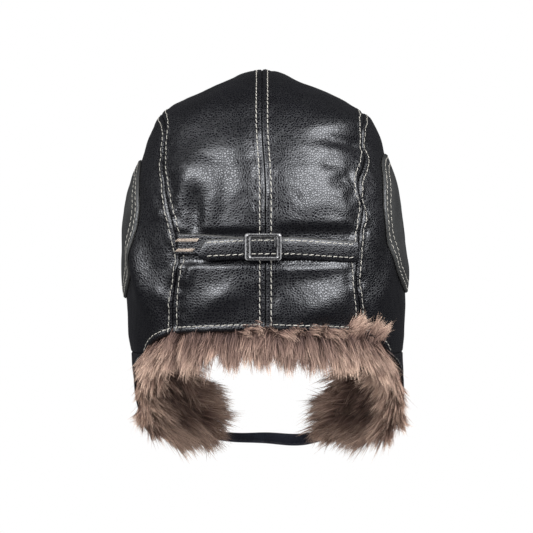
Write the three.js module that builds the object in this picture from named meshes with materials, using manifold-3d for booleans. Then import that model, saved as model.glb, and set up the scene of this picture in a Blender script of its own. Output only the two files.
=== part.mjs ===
// Aviator hat: black leather crown of two centre panels and two side panels, round ear patches, ear flaps
// lined with deep fur, a fur edge at the nape and round the face, a buckled strap across the back and a chin
// strap. Millimetres, +Z up. The wearer faces +Y, so +X is the wearer's right. The origin is the inner face of
// the crown at its top, where the hat sits on the head.
import * as THREE from "three";
import { mergeVertices } from "three/addons/utils/BufferGeometryUtils.js";
import Module from "manifold-3d";

const wasm = await Module();
wasm.setup();

// Crown
const leatherWall = 2;
const seamGap = 0.4;
const touchGap = 0.3;
const crownHalfWidth = 100.5;
const crownBackDepth = 110;
const crownFrontDepth = 116;
const crownHeight = 188;
const browDrop = 104;
const roundness = 2.2;
const hemRise = 3;
const browDip = 8;
const seamHalfSpan = 66;
const seamGroove = 2.6;
const seamGrooveWidth = 13;
const foldDepth = 4;
const leanAtTop = -1.8;
const leanBelow = 0.7;

// Ear flaps and ear patches
const flapSeamDrop = 202;
const flapLength = 63;
const patchRadius = 49.5;
const patchDrop = 112;
const patchBack = 11;
const patchTwist = 3;
const patchTilt = 2;
const patchWall = 1.8;

// Fur
const pileDepth = 15;
const pileOverhang = 9;
const lockLength = 21;
const lockWidth = 11;
const napeHang = 26;
const napeInside = 22;
const faceHang = 11;
const faceInside = 16;

// Straps and fittings
const backStrapDrop = 128.5;
const backStrapWidth = 13.5;
const backStrapWall = 1.6;
const underStrapRise = 2.4;
const strapChannel = 3;
const tailReach = 45;
const tailSag = 2;
const strapSag = 2.5;
const buckleCentre = -1.5;
const buckleWidth = 24.5;
const buckleHeight = 18.4;
const buckleBar = 2.2;
const buckleThickness = 1.8;
const buckleTongue = 1.3;
const chinStrapWidth = 10;
const chinStrapWall = 2;
const chinStrapReach = 92;
const chinStrapDrop = 270;
const snapRadius = 5;
const snapHeight = 2.6;

const topLevel = leatherWall;
const hemLevel = topLevel - crownHeight;
const browLevel = topLevel - browDrop;
const flapSeamLevel = topLevel - flapSeamDrop;
const flapTipLevel = flapSeamLevel - flapLength;
const strapLevel = topLevel - backStrapDrop;

// Level sections of the crown, from the ridge down to the back hem. drop is a share of the crown's height, width
// of its half width, and back and front of the two depths.
const crownSections = [
  { drop: 0, width: 0, back: 0, front: 0 },
  { drop: 0.01, width: 0.13, back: 0.18, front: 0.18 },
  { drop: 0.038, width: 0.238, back: 0.355, front: 0.36 },
  { drop: 0.077, width: 0.405, back: 0.5, front: 0.51 },
  { drop: 0.115, width: 0.565, back: 0.6, front: 0.62 },
  { drop: 0.153, width: 0.683, back: 0.678, front: 0.7 },
  { drop: 0.192, left: 0.75, right: 0.782, back: 0.74, front: 0.77 },
  { drop: 0.268, left: 0.824, right: 0.848, back: 0.836, front: 0.87 },
  { drop: 0.345, left: 0.876, right: 0.872, back: 0.905, front: 0.935 },
  { drop: 0.421, left: 0.935, right: 0.912, back: 0.955, front: 0.975 },
  { drop: 0.498, left: 0.974, right: 0.943, back: 0.982, front: 0.995 },
  { drop: 0.65, left: 0.998, right: 0.979, back: 1, front: 1 },
  { drop: 0.804, left: 1.004, right: 0.994, back: 0.99, front: 0.985 },
  { drop: 1, left: 0.975, right: 0.992, back: 0.955, front: 0.965 },
];

// Below the hem the same outline narrows towards the jaw, and the right flap stands out further than the left.
// drop is a share of the way from the hem to the flap's lower edge.
const jawSections = [
  { drop: 0.18, left: 0.955, right: 0.982, back: 0.93, front: 0.95 },
  { drop: 0.5, left: 0.935, right: 0.99, back: 0.88, front: 0.9 },
  { drop: 0.7, left: 0.91, right: 0.98, back: 0.84, front: 0.86 },
  { drop: 0.85, left: 0.875, right: 0.945, back: 0.8, front: 0.81 },
  { drop: 1, left: 0.825, right: 0.88, back: 0.77, front: 0.76 },
  { drop: 1.15, left: 0.74, right: 0.76, back: 0.73, front: 0.71 },
];

// How far each side seam lies from the ridge, as a share of the seams' half span. along runs from the back hem
// over the crown to the brow. The strap has drawn the left back panel in.
const sideSeams = [
  { along: 0, left: 0.98, right: 0.992 },
  { along: 0.035, left: 0.978, right: 0.98 },
  { along: 0.08, left: 0.962, right: 0.949 },
  { along: 0.105, left: 0.93, right: 0.954 },
  { along: 0.13, left: 0.916, right: 0.964 },
  { along: 0.17, left: 0.936, right: 0.979 },
  { along: 0.225, left: 0.985, right: 1.017 },
  { along: 0.25, left: 1.014, right: 1.034 },
  { along: 0.28, left: 1.044, right: 0.992 },
  { along: 0.3, left: 1.059, right: 0.99 },
  { along: 0.355, left: 1.072, right: 1.05 },
  { along: 0.404, left: 1.065, right: 1.084 },
  { along: 0.45, left: 1.027, right: 1.054 },
  { along: 0.49, left: 1.05, right: 1.077 },
  { along: 0.55, left: 1.085, right: 1.08 },
  { along: 0.8, left: 1.02, right: 1.02 },
  { along: 1, left: 0.9, right: 0.9 },
];

// Dents (negative) and puffs (positive) of the back panels: across from the ridge and drop from the top, with
// half sizes long and wide, as shares of the half width and the height. turn is in degrees and depth a share of
// foldDepth.
const backFolds = [
  { across: -0.42, drop: 0.53, long: 0.13, wide: 0.065, turn: 88, depth: -1 },
  { across: -0.22, drop: 0.5, long: 0.2, wide: 0.11, turn: 82, depth: 0.55 },
  { across: 0.47, drop: 0.335, long: 0.19, wide: 0.035, turn: -3, depth: -0.95 },
  { across: 0.47, drop: 0.285, long: 0.17, wide: 0.06, turn: 2, depth: 0.55 },
  { across: 0.5, drop: 0.45, long: 0.14, wide: 0.05, turn: 32, depth: -0.6 },
  { across: 0.3, drop: 0.47, long: 0.2, wide: 0.13, turn: 70, depth: 0.5 },
  { across: 0.36, drop: 0.86, long: 0.26, wide: 0.07, turn: 13, depth: 0.7 },
  { across: -0.34, drop: 0.83, long: 0.2, wide: 0.07, turn: 22, depth: 0.55 },
  { across: 0.3, drop: 0.95, long: 0.3, wide: 0.05, turn: 4, depth: -0.4 },
  { across: -0.6, drop: 0.76, long: 0.1, wide: 0.04, turn: 55, depth: 0.6 },
];

// The same on the side panels, where forward is measured from the ear, as a share of the back depth.
const sideFolds = [
  { side: -1, forward: -0.52, drop: 0.78, long: 0.2, wide: 0.08, turn: 68, depth: 0.7 },
  { side: -1, forward: -0.62, drop: 0.62, long: 0.12, wide: 0.05, turn: 80, depth: -0.6 },
  { side: 1, forward: -0.6, drop: 0.84, long: 0.22, wide: 0.07, turn: 60, depth: 0.5 },
  { side: 1, forward: -0.55, drop: 0.66, long: 0.14, wide: 0.06, turn: 75, depth: -0.4 },
];

// The ear flap's rear and front edges: drop as a share of the flap's length, and the angle round the head from
// the middle of the back.
const flapEdges = [
  { drop: 0, rear: 58, front: 122 },
  { drop: 0.13, rear: 70, front: 130 },
  { drop: 0.3, rear: 76, front: 137 },
  { drop: 0.5, rear: 80, front: 143 },
  { drop: 0.7, rear: 86, front: 147 },
  { drop: 0.86, rear: 93, front: 148 },
  { drop: 0.95, rear: 99, front: 145 },
  { drop: 1, rear: 108, front: 140 },
];

const clamp = (value, low, high) => Math.min(high, Math.max(low, value));
const mix = (a, b, share) => a + (b - a) * share;
const radians = THREE.MathUtils.degToRad;

function smoothStep(low, high, value) {
  const t = clamp((value - low) / (high - low), 0, 1);
  return t * t * (3 - 2 * t);
}

// A smooth curve through table rows that never overshoots them.
function monotone(xs, ys) {
  const last = xs.length - 1;
  const slope = xs.slice(1).map((x, i) => (ys[i + 1] - ys[i]) / (x - xs[i]));
  const tangent = xs.map((x, i) => {
    if (i === 0) return slope[0];
    if (i === last) return slope[last - 1];
    const [a, b] = [slope[i - 1], slope[i]];
    return a * b <= 0 ? 0 : (2 * a * b) / (a + b);
  });
  return (x) => {
    const at = clamp(x, xs[0], xs[last]);
    let i = 0;
    while (i < last - 1 && at > xs[i + 1]) i += 1;
    const span = xs[i + 1] - xs[i];
    const t = (at - xs[i]) / span;
    const [t2, t3] = [t * t, t * t * t];
    return (
      (2 * t3 - 3 * t2 + 1) * ys[i] +
      (t3 - 2 * t2 + t) * span * tangent[i] +
      (3 * t2 - 2 * t3) * ys[i + 1] +
      (t3 - t2) * span * tangent[i + 1]
    );
  };
}

const column = (rows, name) => rows.map((row) => row[name]);

// Half width and the two depths of the outline at a level. The root of the drop keeps the top round.
const jawDrop = hemLevel - flapTipLevel;
const sectionRows = [
  ...crownSections,
  ...jawSections.map((row) => ({ ...row, drop: 1 + (row.drop * jawDrop) / crownHeight })),
];
const sectionRoots = sectionRows.map((row) => Math.sqrt(row.drop));
const widthColumn = (name) => sectionRows.map((row) => row[name] ?? row.width);
const leftShare = monotone(sectionRoots, widthColumn("left"));
const rightShare = monotone(sectionRoots, widthColumn("right"));
const backShare = monotone(sectionRoots, column(sectionRows, "back"));
const frontShare = monotone(sectionRoots, column(sectionRows, "front"));

function outline(level, side) {
  const root = Math.sqrt(Math.max(0, (topLevel - level) / crownHeight));
  return {
    width: crownHalfWidth * (side < 0 ? leftShare : rightShare)(root),
    back: crownBackDepth * backShare(root),
    front: crownFrontDepth * frontShare(root),
  };
}

// Under 1 inside the crown's smooth form, 1 on it and over 1 outside.
function reach(x, y, z) {
  if (z >= topLevel) return Infinity;
  const { width, back, front } = outline(z, x);
  const depth = y < 0 ? back : front;
  return (Math.abs(x) / width) ** roundness + (Math.abs(y) / depth) ** roundness;
}

function normalAt(point) {
  const step = 0.5;
  const { x, y } = point;
  const z = Math.min(point.z, topLevel - 2 * step);
  const n = new THREE.Vector3(
    reach(x + step, y, z) - reach(x - step, y, z),
    reach(x, y + step, z) - reach(x, y - step, z),
    reach(x, y, z + step) - reach(x, y, z - step),
  );
  return n.normalize();
}

// An oval dent or puff, 1 at its middle and fading to nothing.
function oval(fold, across, up, acrossUnit) {
  const turn = radians(fold.turn);
  const along = across * Math.cos(turn) + up * Math.sin(turn);
  const beside = up * Math.cos(turn) - across * Math.sin(turn);
  const far = (along / (fold.long * acrossUnit)) ** 2 + (beside / (fold.wide * acrossUnit)) ** 2;
  return fold.depth * foldDepth * Math.exp(-far);
}

const seamAlong = column(sideSeams, "along");
const leftSeam = monotone(seamAlong, column(sideSeams, "left"));
const rightSeam = monotone(seamAlong, column(sideSeams, "right"));
const seamHalf = (side, along) => seamHalfSpan * (side < 0 ? leftSeam : rightSeam)(along);

// Angles about the crown's middle in the Y-Z plane, from the back over the top to the front.
const domeMiddle = topLevel - 0.65 * crownHeight;
const hemAngle = Math.atan2(hemLevel - domeMiddle, crownBackDepth * 0.955);
const browAngle = Math.PI - Math.atan2(browLevel - domeMiddle, crownFrontDepth * 0.99);
const alongAt = (y, z) => (Math.atan2(z - domeMiddle, -y) - hemAngle) / (browAngle - hemAngle);

// How far the leather stands out from, or sinks below, the smooth form.
function relief({ x, y, z }) {
  const side = Math.sign(x) || 1;
  const seamX = seamHalf(side, clamp(alongAt(y, z), 0, 1));
  const fadeAtTop = 1 - smoothStep(topLevel - 0.3 * crownHeight, topLevel - 0.15 * crownHeight, z);
  const ridge = Math.exp(-((x / seamGrooveWidth) ** 2)) * fadeAtTop;
  const seam = 0.7 * Math.exp(-(((Math.abs(x) - seamX) / seamGrooveWidth) ** 2)) * fadeAtTop;
  let total = -seamGroove * Math.max(ridge, seam);
  const down = (row) => z - (topLevel - row.drop * crownHeight);
  if (y < 0) {
    for (const fold of backFolds) {
      total += oval(fold, x - fold.across * crownHalfWidth, down(fold), crownHalfWidth);
    }
    const nearStrap = 1 - smoothStep(backStrapWidth * 0.62, backStrapWidth * 1.3, Math.abs(z - strapLevel));
    const acrossStrap = 1 - smoothStep(seamX * 0.9, seamX * 1.12, Math.abs(x));
    const channel = nearStrap * acrossStrap;
    total = mix(total, -strapChannel, channel);
  }
  for (const fold of sideFolds) {
    if (fold.side !== side) continue;
    total += oval(fold, y - fold.forward * crownBackDepth, down(fold), crownBackDepth);
  }
  return total;
}

// The crown leans a little to the left at its top.
function lean(level) {
  return mix(leanBelow, leanAtTop, smoothStep(topLevel - 0.48 * crownHeight, topLevel - 0.2 * crownHeight, level));
}

// The leather's outer face at a point of the smooth form, moved out by offset.
function leatherPoint(base, offset = 0) {
  const point = base.clone().addScaledVector(normalAt(base), relief(base) + offset);
  point.x += lean(base.z);
  return point;
}

// The point of the smooth form at x whose direction from the dome's middle is angle.
function domePoint(x, angle) {
  let [low, high] = [0, 2 * crownFrontDepth + crownHeight];
  for (let i = 0; i < 50; i += 1) {
    const r = (low + high) / 2;
    const inside = reach(x, -r * Math.cos(angle), domeMiddle + r * Math.sin(angle)) < 1;
    [low, high] = inside ? [r, high] : [low, r];
  }
  return new THREE.Vector3(x, -low * Math.cos(angle), domeMiddle + low * Math.sin(angle));
}

// The point of the smooth form at a level and an angle round the head from the middle of the back.
function roundPoint(side, degrees, level) {
  const { width, back, front } = outline(level, side);
  const [sine, cosine] = [Math.sin(radians(degrees)), Math.cos(radians(degrees))];
  const depth = cosine > 0 ? back : front;
  const x = side * width * Math.sign(sine) * Math.abs(sine) ** (2 / roundness);
  const y = -Math.sign(cosine) * depth * Math.abs(cosine) ** (2 / roundness);
  return new THREE.Vector3(x, y, level);
}

// The point of the smooth form over a place of the side view.
function sidePoint(side, y, z) {
  const { width, back, front } = outline(z, side);
  const depth = y < 0 ? back : front;
  const x = width * Math.max(0, 1 - (Math.abs(y) / depth) ** roundness) ** (1 / roundness);
  return new THREE.Vector3(side * x, y, z);
}

// The point of the smooth form at the same level and direction from the axis.
function project(point) {
  const scale = reach(point.x, point.y, point.z) ** (-1 / roundness);
  return new THREE.Vector3(point.x * scale, point.y * scale, point.z);
}

// A closed mesh facing out, from points and triangles of their indices.
function closedGeometry(points, triangles) {
  const raw = new THREE.BufferGeometry();
  raw.setAttribute("position", new THREE.Float32BufferAttribute(points.flatMap((p) => p.toArray()), 3));
  raw.setIndex(triangles.flat());
  const merged = mergeVertices(raw, 1e-3);
  const index = merged.index.array;
  const kept = [];
  for (let i = 0; i < index.length; i += 3) {
    const [a, b, c] = [index[i], index[i + 1], index[i + 2]];
    if (a !== b && b !== c && a !== c) kept.push([a, b, c]);
  }
  const place = (i) => new THREE.Vector3().fromBufferAttribute(merged.attributes.position, i);
  const volume = kept.reduce((sum, [a, b, c]) => sum + place(a).dot(place(b).cross(place(c))), 0);
  merged.setIndex(kept.flatMap(([a, b, c]) => (volume < 0 ? [a, c, b] : [a, b, c])));
  return merged;
}

// A wall between two faces, each a function of column and row shares.
function wallGeometry(outer, inner, columns, rows) {
  const points = [];
  const triangles = [];
  const stride = rows + 1;
  for (const face of [outer, inner]) {
    for (let i = 0; i <= columns; i += 1) {
      for (let j = 0; j <= rows; j += 1) points.push(face(i / columns, j / rows));
    }
  }
  const half = points.length / 2;
  const quad = (a, b, c, d) => triangles.push([a, b, c], [a, c, d]);
  for (let i = 0; i < columns; i += 1) {
    for (let j = 0; j < rows; j += 1) {
      const a = i * stride + j;
      quad(a, a + stride, a + stride + 1, a + 1);
      quad(half + a, half + a + 1, half + a + stride + 1, half + a + stride);
    }
  }
  for (let i = 0; i < columns; i += 1) {
    const [low, high] = [i * stride, i * stride + rows];
    quad(low, half + low, half + low + stride, low + stride);
    quad(high, high + stride, half + high + stride, half + high);
  }
  for (let j = 0; j < rows; j += 1) {
    const far = columns * stride + j;
    quad(j, j + 1, half + j + 1, half + j);
    quad(far, half + far, half + far + 1, far + 1);
  }
  return closedGeometry(points, triangles);
}

function toManifold(geometry) {
  const vertProperties = new Float32Array(geometry.attributes.position.array);
  const triVerts = new Uint32Array(geometry.index.array);
  return new wasm.Manifold(new wasm.Mesh({ numProp: 3, vertProperties, triVerts }));
}

function fromManifold(solid) {
  const largest = solid.decompose().sort((a, b) => b.volume() - a.volume())[0];
  const mesh = largest.getMesh();
  const geometry = new THREE.BufferGeometry();
  geometry.setAttribute("position", new THREE.BufferAttribute(new Float32Array(mesh.vertProperties), 3));
  geometry.setIndex(new THREE.BufferAttribute(new Uint32Array(mesh.triVerts), 1));
  return geometry;
}

const material = (color, roughness, metalness = 0) =>
  new THREE.MeshStandardMaterial({ color, roughness, metalness });
const blackLeather = material(0x17171b, 0.42);
const brownFur = material(0x8a7264, 0.95);
const gunmetal = material(0x3a3a3e, 0.35, 0.9);

const hat = new THREE.Group();
function addMesh(name, geometry, look) {
  geometry.computeVertexNormals();
  const mesh = new THREE.Mesh(geometry, look);
  mesh.name = name;
  hat.add(mesh);
}

const sideNames = [
  [-1, "left"],
  [1, "right"],
];

// The back hem rises a little in the middle and the brow edge dips towards the temples.
function hemPointAngle(x) {
  const level = hemLevel + hemRise * (1 - (x / seamHalfSpan) ** 2);
  const { width, back } = outline(level, x);
  const y = back * (1 - (Math.abs(x) / width) ** roundness) ** (1 / roundness);
  return Math.atan2(level - domeMiddle, y);
}

function browPointAngle(x) {
  const level = browLevel - browDip * (x / seamHalfSpan) ** 2;
  const { width, front } = outline(level, x);
  const y = front * (1 - (Math.abs(x) / width) ** roundness) ** (1 / roundness);
  return Math.PI - Math.atan2(level - domeMiddle, y);
}

// Rows along the seams, from hem to brow, crowd on the folded back. Both panels at a seam share them.
const seamSteps = 36;
const seamRow = (share) => share * mix(0.45, 1, share);

// A centre panel: along from hem to brow, across from ridge to side seam.
function crownPanel(side, far = 0, near = -leatherWall, gap = seamGap, margin = 0) {
  const face = (offset) => (share, across) => {
    const along = mix(-margin, 1 + margin, seamRow(share));
    const x = side * mix(gap / 2, seamHalf(side, along) - gap / 2, across);
    const base = domePoint(x, mix(hemPointAngle(x), browPointAngle(x), along));
    const point = leatherPoint(base, offset);
    if (across === 0) point.x = (side * gap) / 2 + lean(base.z);
    return point;
  };
  return wallGeometry(face(far), face(near), seamSteps, 8);
}

// The side panel's border in the side view: up the side seam, and down the hem and the face edge to the flap.
const seamEdge = (side, along) => {
  const x = side * (seamHalf(side, along) + seamGap / 2);
  return domePoint(x, mix(hemPointAngle(x), browPointAngle(x), along));
};
const flapCorner = (side, edge) => {
  const angle = flapEdges[0][edge];
  return roundPoint(side, angle, flapSeamLevel);
};

// A border that bows from one corner to another, as the hem and the face edge do.
function bowed(from, to, bow) {
  return (share) => {
    const swell = bow * Math.sin(Math.PI * share);
    const along = new THREE.Vector2(to.y - from.y, to.z - from.z).normalize();
    return new THREE.Vector2(
      mix(from.y, to.y, share) - along.y * swell,
      mix(from.z, to.z, share) + along.x * swell,
    );
  };
}

function sidePanelPlace(side) {
  const rearHem = bowed(flapCorner(side, "rear"), seamEdge(side, 0), 3);
  const faceEdge = bowed(flapCorner(side, "front"), seamEdge(side, 1), 7);
  const [rear, front] = [flapCorner(side, "rear"), flapCorner(side, "front")];
  const lower = (share) => new THREE.Vector2(mix(rear.y, front.y, share), flapSeamLevel);
  const upper = (share) => {
    const p = seamEdge(side, share);
    return new THREE.Vector2(p.y, p.z);
  };
  return (along, up) => {
    const blend = (first, second, share) => first.clone().lerp(second, share);
    const across = blend(rearHem(up), faceEdge(up), along);
    const upward = blend(lower(along), upper(along), up);
    const corners = blend(blend(lower(0), lower(1), along), blend(upper(0), upper(1), along), up);
    return across.add(upward).sub(corners);
  };
}

function sidePanel(side, far = 0, near = -leatherWall, margin = 0) {
  const place = sidePanelPlace(side);
  const face = (offset) => (share, rise) => {
    const along = mix(-margin, 1 + margin, seamRow(share));
    const up = mix(-margin, 1, rise);
    const at = place(along, up);
    const base = up === 1 ? seamEdge(side, along) : sidePoint(side, at.x, at.y);
    return leatherPoint(base, offset);
  };
  return wallGeometry(face(far), face(near), seamSteps, 6);
}

// A round patch lies over each ear, on top of the side panel, which its underside is cut to follow. The hat sits
// a little twisted and tilted, so the right patch lies further back and higher than the left.
function earPatch(side) {
  const rings = 3;
  const sectors = 28;
  const middle = topLevel - patchDrop + side * patchTilt;
  const centre = -patchBack - side * patchTwist;
  const points = [];
  const triangles = [];
  const place = (share, turn, offset) => {
    const y = centre + patchRadius * share * Math.cos(turn);
    const z = middle + patchRadius * share * Math.sin(turn);
    return leatherPoint(sidePoint(side, y, z), offset);
  };
  const offsets = [-0.5 * patchWall, touchGap + patchWall];
  const faceStart = offsets.map((offset) => {
    const start = points.length;
    points.push(place(0, 0, offset));
    for (let ring = 1; ring <= rings; ring += 1) {
      for (let k = 0; k < sectors; k += 1) {
        points.push(place(ring / rings, (2 * Math.PI * k) / sectors, offset));
      }
    }
    return start;
  });
  const at = (start, ring, k) => (ring === 0 ? start : start + 1 + (ring - 1) * sectors + (k % sectors));
  for (let k = 0; k < sectors; k += 1) {
    faceStart.forEach((start, layer) => {
      for (let ring = 0; ring < rings; ring += 1) {
        const [a, b] = [at(start, ring, k), at(start, ring + 1, k)];
        const [c, d] = [at(start, ring + 1, k + 1), at(start, ring, k + 1)];
        const faces = ring === 0 ? [[a, b, c]] : [[a, b, c], [a, c, d]];
        triangles.push(...(layer === 0 ? faces : faces.map(([p, q, r]) => [p, r, q])));
      }
    });
    const [inner, outer] = faceStart.map((start) => [at(start, rings, k), at(start, rings, k + 1)]);
    triangles.push([inner[1], inner[0], outer[0]], [inner[1], outer[0], outer[1]]);
  }
  const under = toManifold(sidePanel(side, touchGap, -2 * leatherWall));
  return fromManifold(toManifold(closedGeometry(points, triangles)).subtract(under));
}

// The ear flap from its seam to its lower edge.
const edgeDrops = column(flapEdges, "drop");
const rearEdge = monotone(edgeDrops, column(flapEdges, "rear"));
const frontEdge = monotone(edgeDrops, column(flapEdges, "front"));

function flapBase(side, across, down, margin = 0) {
  const level = mix(flapSeamLevel - seamGap, flapTipLevel, down);
  const drop = clamp(down, 0, 1);
  const spread = (margin / crownHalfWidth) * (180 / Math.PI);
  return roundPoint(side, mix(rearEdge(drop) - spread, frontEdge(drop) + spread, across), level);
}

// Rows crowd towards the flap's round lower edge.
const rowShare = (share) => Math.sin((share * Math.PI) / 2) ** 1.15;

function earFlap(side) {
  const face = (offset) => (across, down) => leatherPoint(flapBase(side, across, rowShare(down)), offset);
  return wallGeometry(face(0), face(-leatherWall), 14, 8);
}

// A repeatable scatter between -1 and 1.
const scatter = (seed) => 2 * ((Math.abs(Math.sin(seed * 12.9898) * 43758.5453)) % 1) - 1;

// One lock of fur: a flat spike with three sides, which bends towards the ground.
function furLock(root, direction, flatAxis, length, width) {
  const sections = [0, 0.5];
  const corners = [[1, 0.4], [-1, 0.4], [0, -0.8]];
  const droop = 0.25;
  const points = [];
  const triangles = [];
  const wide = direction.clone().cross(flatAxis).normalize().multiplyScalar(width / 2);
  const thick = direction.clone().cross(wide).normalize().multiplyScalar(width / 3);
  const sag = new THREE.Vector3(0, 0, -1).addScaledVector(direction, direction.z).multiplyScalar(droop);
  const centre = (share) =>
    root.clone().addScaledVector(direction, length * share).addScaledVector(sag, length * share * share);
  for (const share of sections) {
    const size = (1 - share) ** 0.5;
    for (const [a, b] of corners) {
      points.push(centre(share).addScaledVector(wide, a * size).addScaledVector(thick, b * size));
    }
  }
  const tip = points.push(centre(1)) - 1;
  for (let k = 0; k < 3; k += 1) {
    const next = (k + 1) % 3;
    triangles.push([k, next, next + 3], [k, next + 3, k + 3], [k + 3, next + 3, tip]);
  }
  triangles.push([2, 1, 0]);
  return toManifold(closedGeometry(points, triangles));
}

// Everything on one side of a level or upright plane, as a large box.
function halfSpace(axis, from, to) {
  const size = 4 * crownHeight;
  const box = new THREE.BoxGeometry(size, size, size);
  const centre = new THREE.Vector3();
  const extent = to - from;
  box.scale(axis === "x" ? extent / size : 1, axis === "y" ? extent / size : 1, axis === "z" ? extent / size : 1);
  centre[axis] = (from + to) / 2;
  box.translate(centre.x, centre.y, centre.z);
  box.deleteAttribute("normal");
  box.deleteAttribute("uv");
  return toManifold(mergeVertices(box));
}

const besideLeather = (fur) => keepOut.reduce((solid, other) => solid.subtract(other), fur);

const farAway = 3 * crownHeight;
const napeBorder = -crownBackDepth * 0.5;
const faceBorder = flapSeamLevel + 12;
const furInset = leatherWall + touchGap;
const pileInset = furInset + 0.9;

// The flap's pile: thick at the rim, thinner in the middle, with locks round its edge and down its face.
function flapFur(side) {
  const inside = 16;
  const topDown = -inside / flapLength;
  const lowDown = 1 + (0.6 * pileOverhang) / flapLength;
  const place = (across, down) => flapBase(side, across, mix(topDown, lowDown, rowShare(down)), pileOverhang);
  const depth = (across, down) => {
    const edge = Math.min(across, 1 - across, (1 - down) * 0.8);
    const rim = smoothStep(0, 0.13, edge);
    const hollow = smoothStep(0.16, 0.42, edge);
    return pileDepth * (0.35 + 0.65 * rim - 0.35 * hollow);
  };
  const outer = (across, down) => leatherPoint(place(across, down), -pileInset);
  const inner = (across, down) => leatherPoint(place(across, down), -pileInset - depth(across, down));
  let fur = toManifold(wallGeometry(outer, inner, 10, 6));
  const addLock = (across, down, out, seed, sink) => {
    const base = place(across, down);
    const normal = normalAt(base);
    const root = leatherPoint(base, -furInset - sink * depth(across, down));
    const direction = out.clone().addScaledVector(normal, 0.05 + 0.25 * scatter(seed));
    direction.z -= 0.35;
    direction.normalize();
    const length = lockLength * (0.95 + 0.25 * scatter(seed + 0.5));
    root.addScaledVector(direction, -0.35 * length);
    fur = fur.add(furLock(root, direction, normal, length * 1.25, lockWidth));
  };
  const rim = 22;
  for (let i = 0; i < rim; i += 1) {
    // Round the rim: down the rear edge, along the bottom and up the front edge.
    const share = i / (rim - 1);
    const across = smoothStep(0.28, 0.72, share);
    const down = share < 0.5 ? mix(0.22, 1, share * 2) : mix(1, 0.22, share * 2 - 1);
    const here = place(across, down);
    const towards = place(clamp(across, 0.25, 0.75), Math.min(down, 0.72));
    addLock(across, down, here.clone().sub(towards).normalize(), i + side * 3.7, 0.45);
  }
  const faceRows = [
    { down: 0.3, count: 4 },
    { down: 0.55, count: 5 },
    { down: 0.76, count: 5 },
    { down: 0.95, count: 6 },
  ];
  faceRows.forEach((row, r) => {
    for (let i = 0; i < row.count; i += 1) {
      const across = (i + 0.6) / (row.count + 0.2);
      addLock(across, row.down, new THREE.Vector3(0, 0, -1), 50 + 9 * r + i + side, 0.9);
    }
  });
  fur = besideLeather(fur).intersect(halfSpace("z", -farAway, faceBorder - touchGap));
  return fromManifold(fur.intersect(halfSpace("y", napeBorder + touchGap, farAway)));
}

// A fur edge along a hem: a strip inside the leather that reaches past the hem, with locks hanging from it.
function edgeFur({ edgePoint, outward, insideWidth, hang, depth, columns, rows, locks, lift }) {
  const reachPast = 0.35 * hang;
  const strip = (share, down) => {
    const at = edgePoint(share);
    const past = mix(-insideWidth, reachPast, down);
    return project(at.clone().addScaledVector(outward(share), past));
  };
  const pile = (down) => depth * (0.45 + 0.55 * Math.sin(Math.PI * clamp(down, 0, 1)));
  const outer = (share, down) => leatherPoint(strip(share, down), -pileInset);
  const inner = (share, down) => leatherPoint(strip(share, down), -pileInset - pile(down));
  let fur = toManifold(wallGeometry(outer, inner, columns, rows));
  for (let i = 0; i < locks; i += 1) {
    const share = mix(0.012, 0.988, i / (locks - 1));
    const base = strip(share, 0.9);
    const normal = normalAt(base);
    const sink = i % 2 === 0 ? 0.3 : 0.75;
    const root = leatherPoint(base, -furInset - sink * depth);
    const direction = outward(share).clone().addScaledVector(normal, lift + 0.15 * scatter(i));
    direction.z -= 0.2;
    direction.normalize();
    const ends = smoothStep(0.7, 1, Math.abs(2 * share - 1));
    const length = hang * (0.9 + 0.15 * scatter(i + 0.3)) * (1 - 0.35 * ends);
    root.addScaledVector(direction, -0.3 * length);
    fur = fur.add(furLock(root, direction, normal, length * 1.25, lockWidth));
  }
  return fur;
}

// The nape's fur follows the back hem from flap to flap.
function hemPath(side, share) {
  const corner = seamEdge(side, 0);
  if (share < 0.7) {
    const x = (side * seamHalf(side, 0) * share) / 0.7;
    return domePoint(x || 0.01, hemPointAngle(x));
  }
  const at = bowed(flapCorner(side, "rear"), corner, 3)(1 - (share - 0.7) / 0.3);
  return sidePoint(side, at.x, at.y);
}

function napeFur() {
  const fur = edgeFur({
    edgePoint: (share) => hemPath(share < 0.5 ? -1 : 1, Math.abs(2 * share - 1)),
    outward: () => new THREE.Vector3(0, 0, -1),
    insideWidth: napeInside,
    hang: napeHang,
    depth: 0.8 * pileDepth,
    columns: 22,
    rows: 3,
    locks: 27,
    lift: -0.1,
  });
  return fromManifold(besideLeather(fur).intersect(halfSpace("y", -farAway, napeBorder)));
}

// The face's fur follows the front edge from flap to flap, over the brow.
function facePath(side, share) {
  if (share < 0.36) {
    const x = (side * seamHalf(side, 1) * share) / 0.36;
    return domePoint(x || 0.01, browPointAngle(x));
  }
  const at = bowed(flapCorner(side, "front"), seamEdge(side, 1), 7)(1 - (share - 0.36) / 0.64);
  return sidePoint(side, at.x, at.y);
}

function faceFur() {
  const edgePoint = (share) => facePath(share < 0.5 ? -1 : 1, Math.abs(2 * share - 1));
  const outward = (share) => {
    const step = 0.01;
    const along = edgePoint(clamp(share + step, 0, 1)).sub(edgePoint(clamp(share - step, 0, 1)));
    return normalAt(edgePoint(share)).cross(along).normalize();
  };
  const fur = edgeFur({
    edgePoint,
    outward,
    insideWidth: faceInside,
    hang: faceHang,
    depth: 0.55 * pileDepth,
    columns: 22,
    rows: 2,
    locks: 23,
    lift: 0,
  });
  return fromManifold(besideLeather(fur).intersect(halfSpace("z", faceBorder, farAway)));
}

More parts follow.
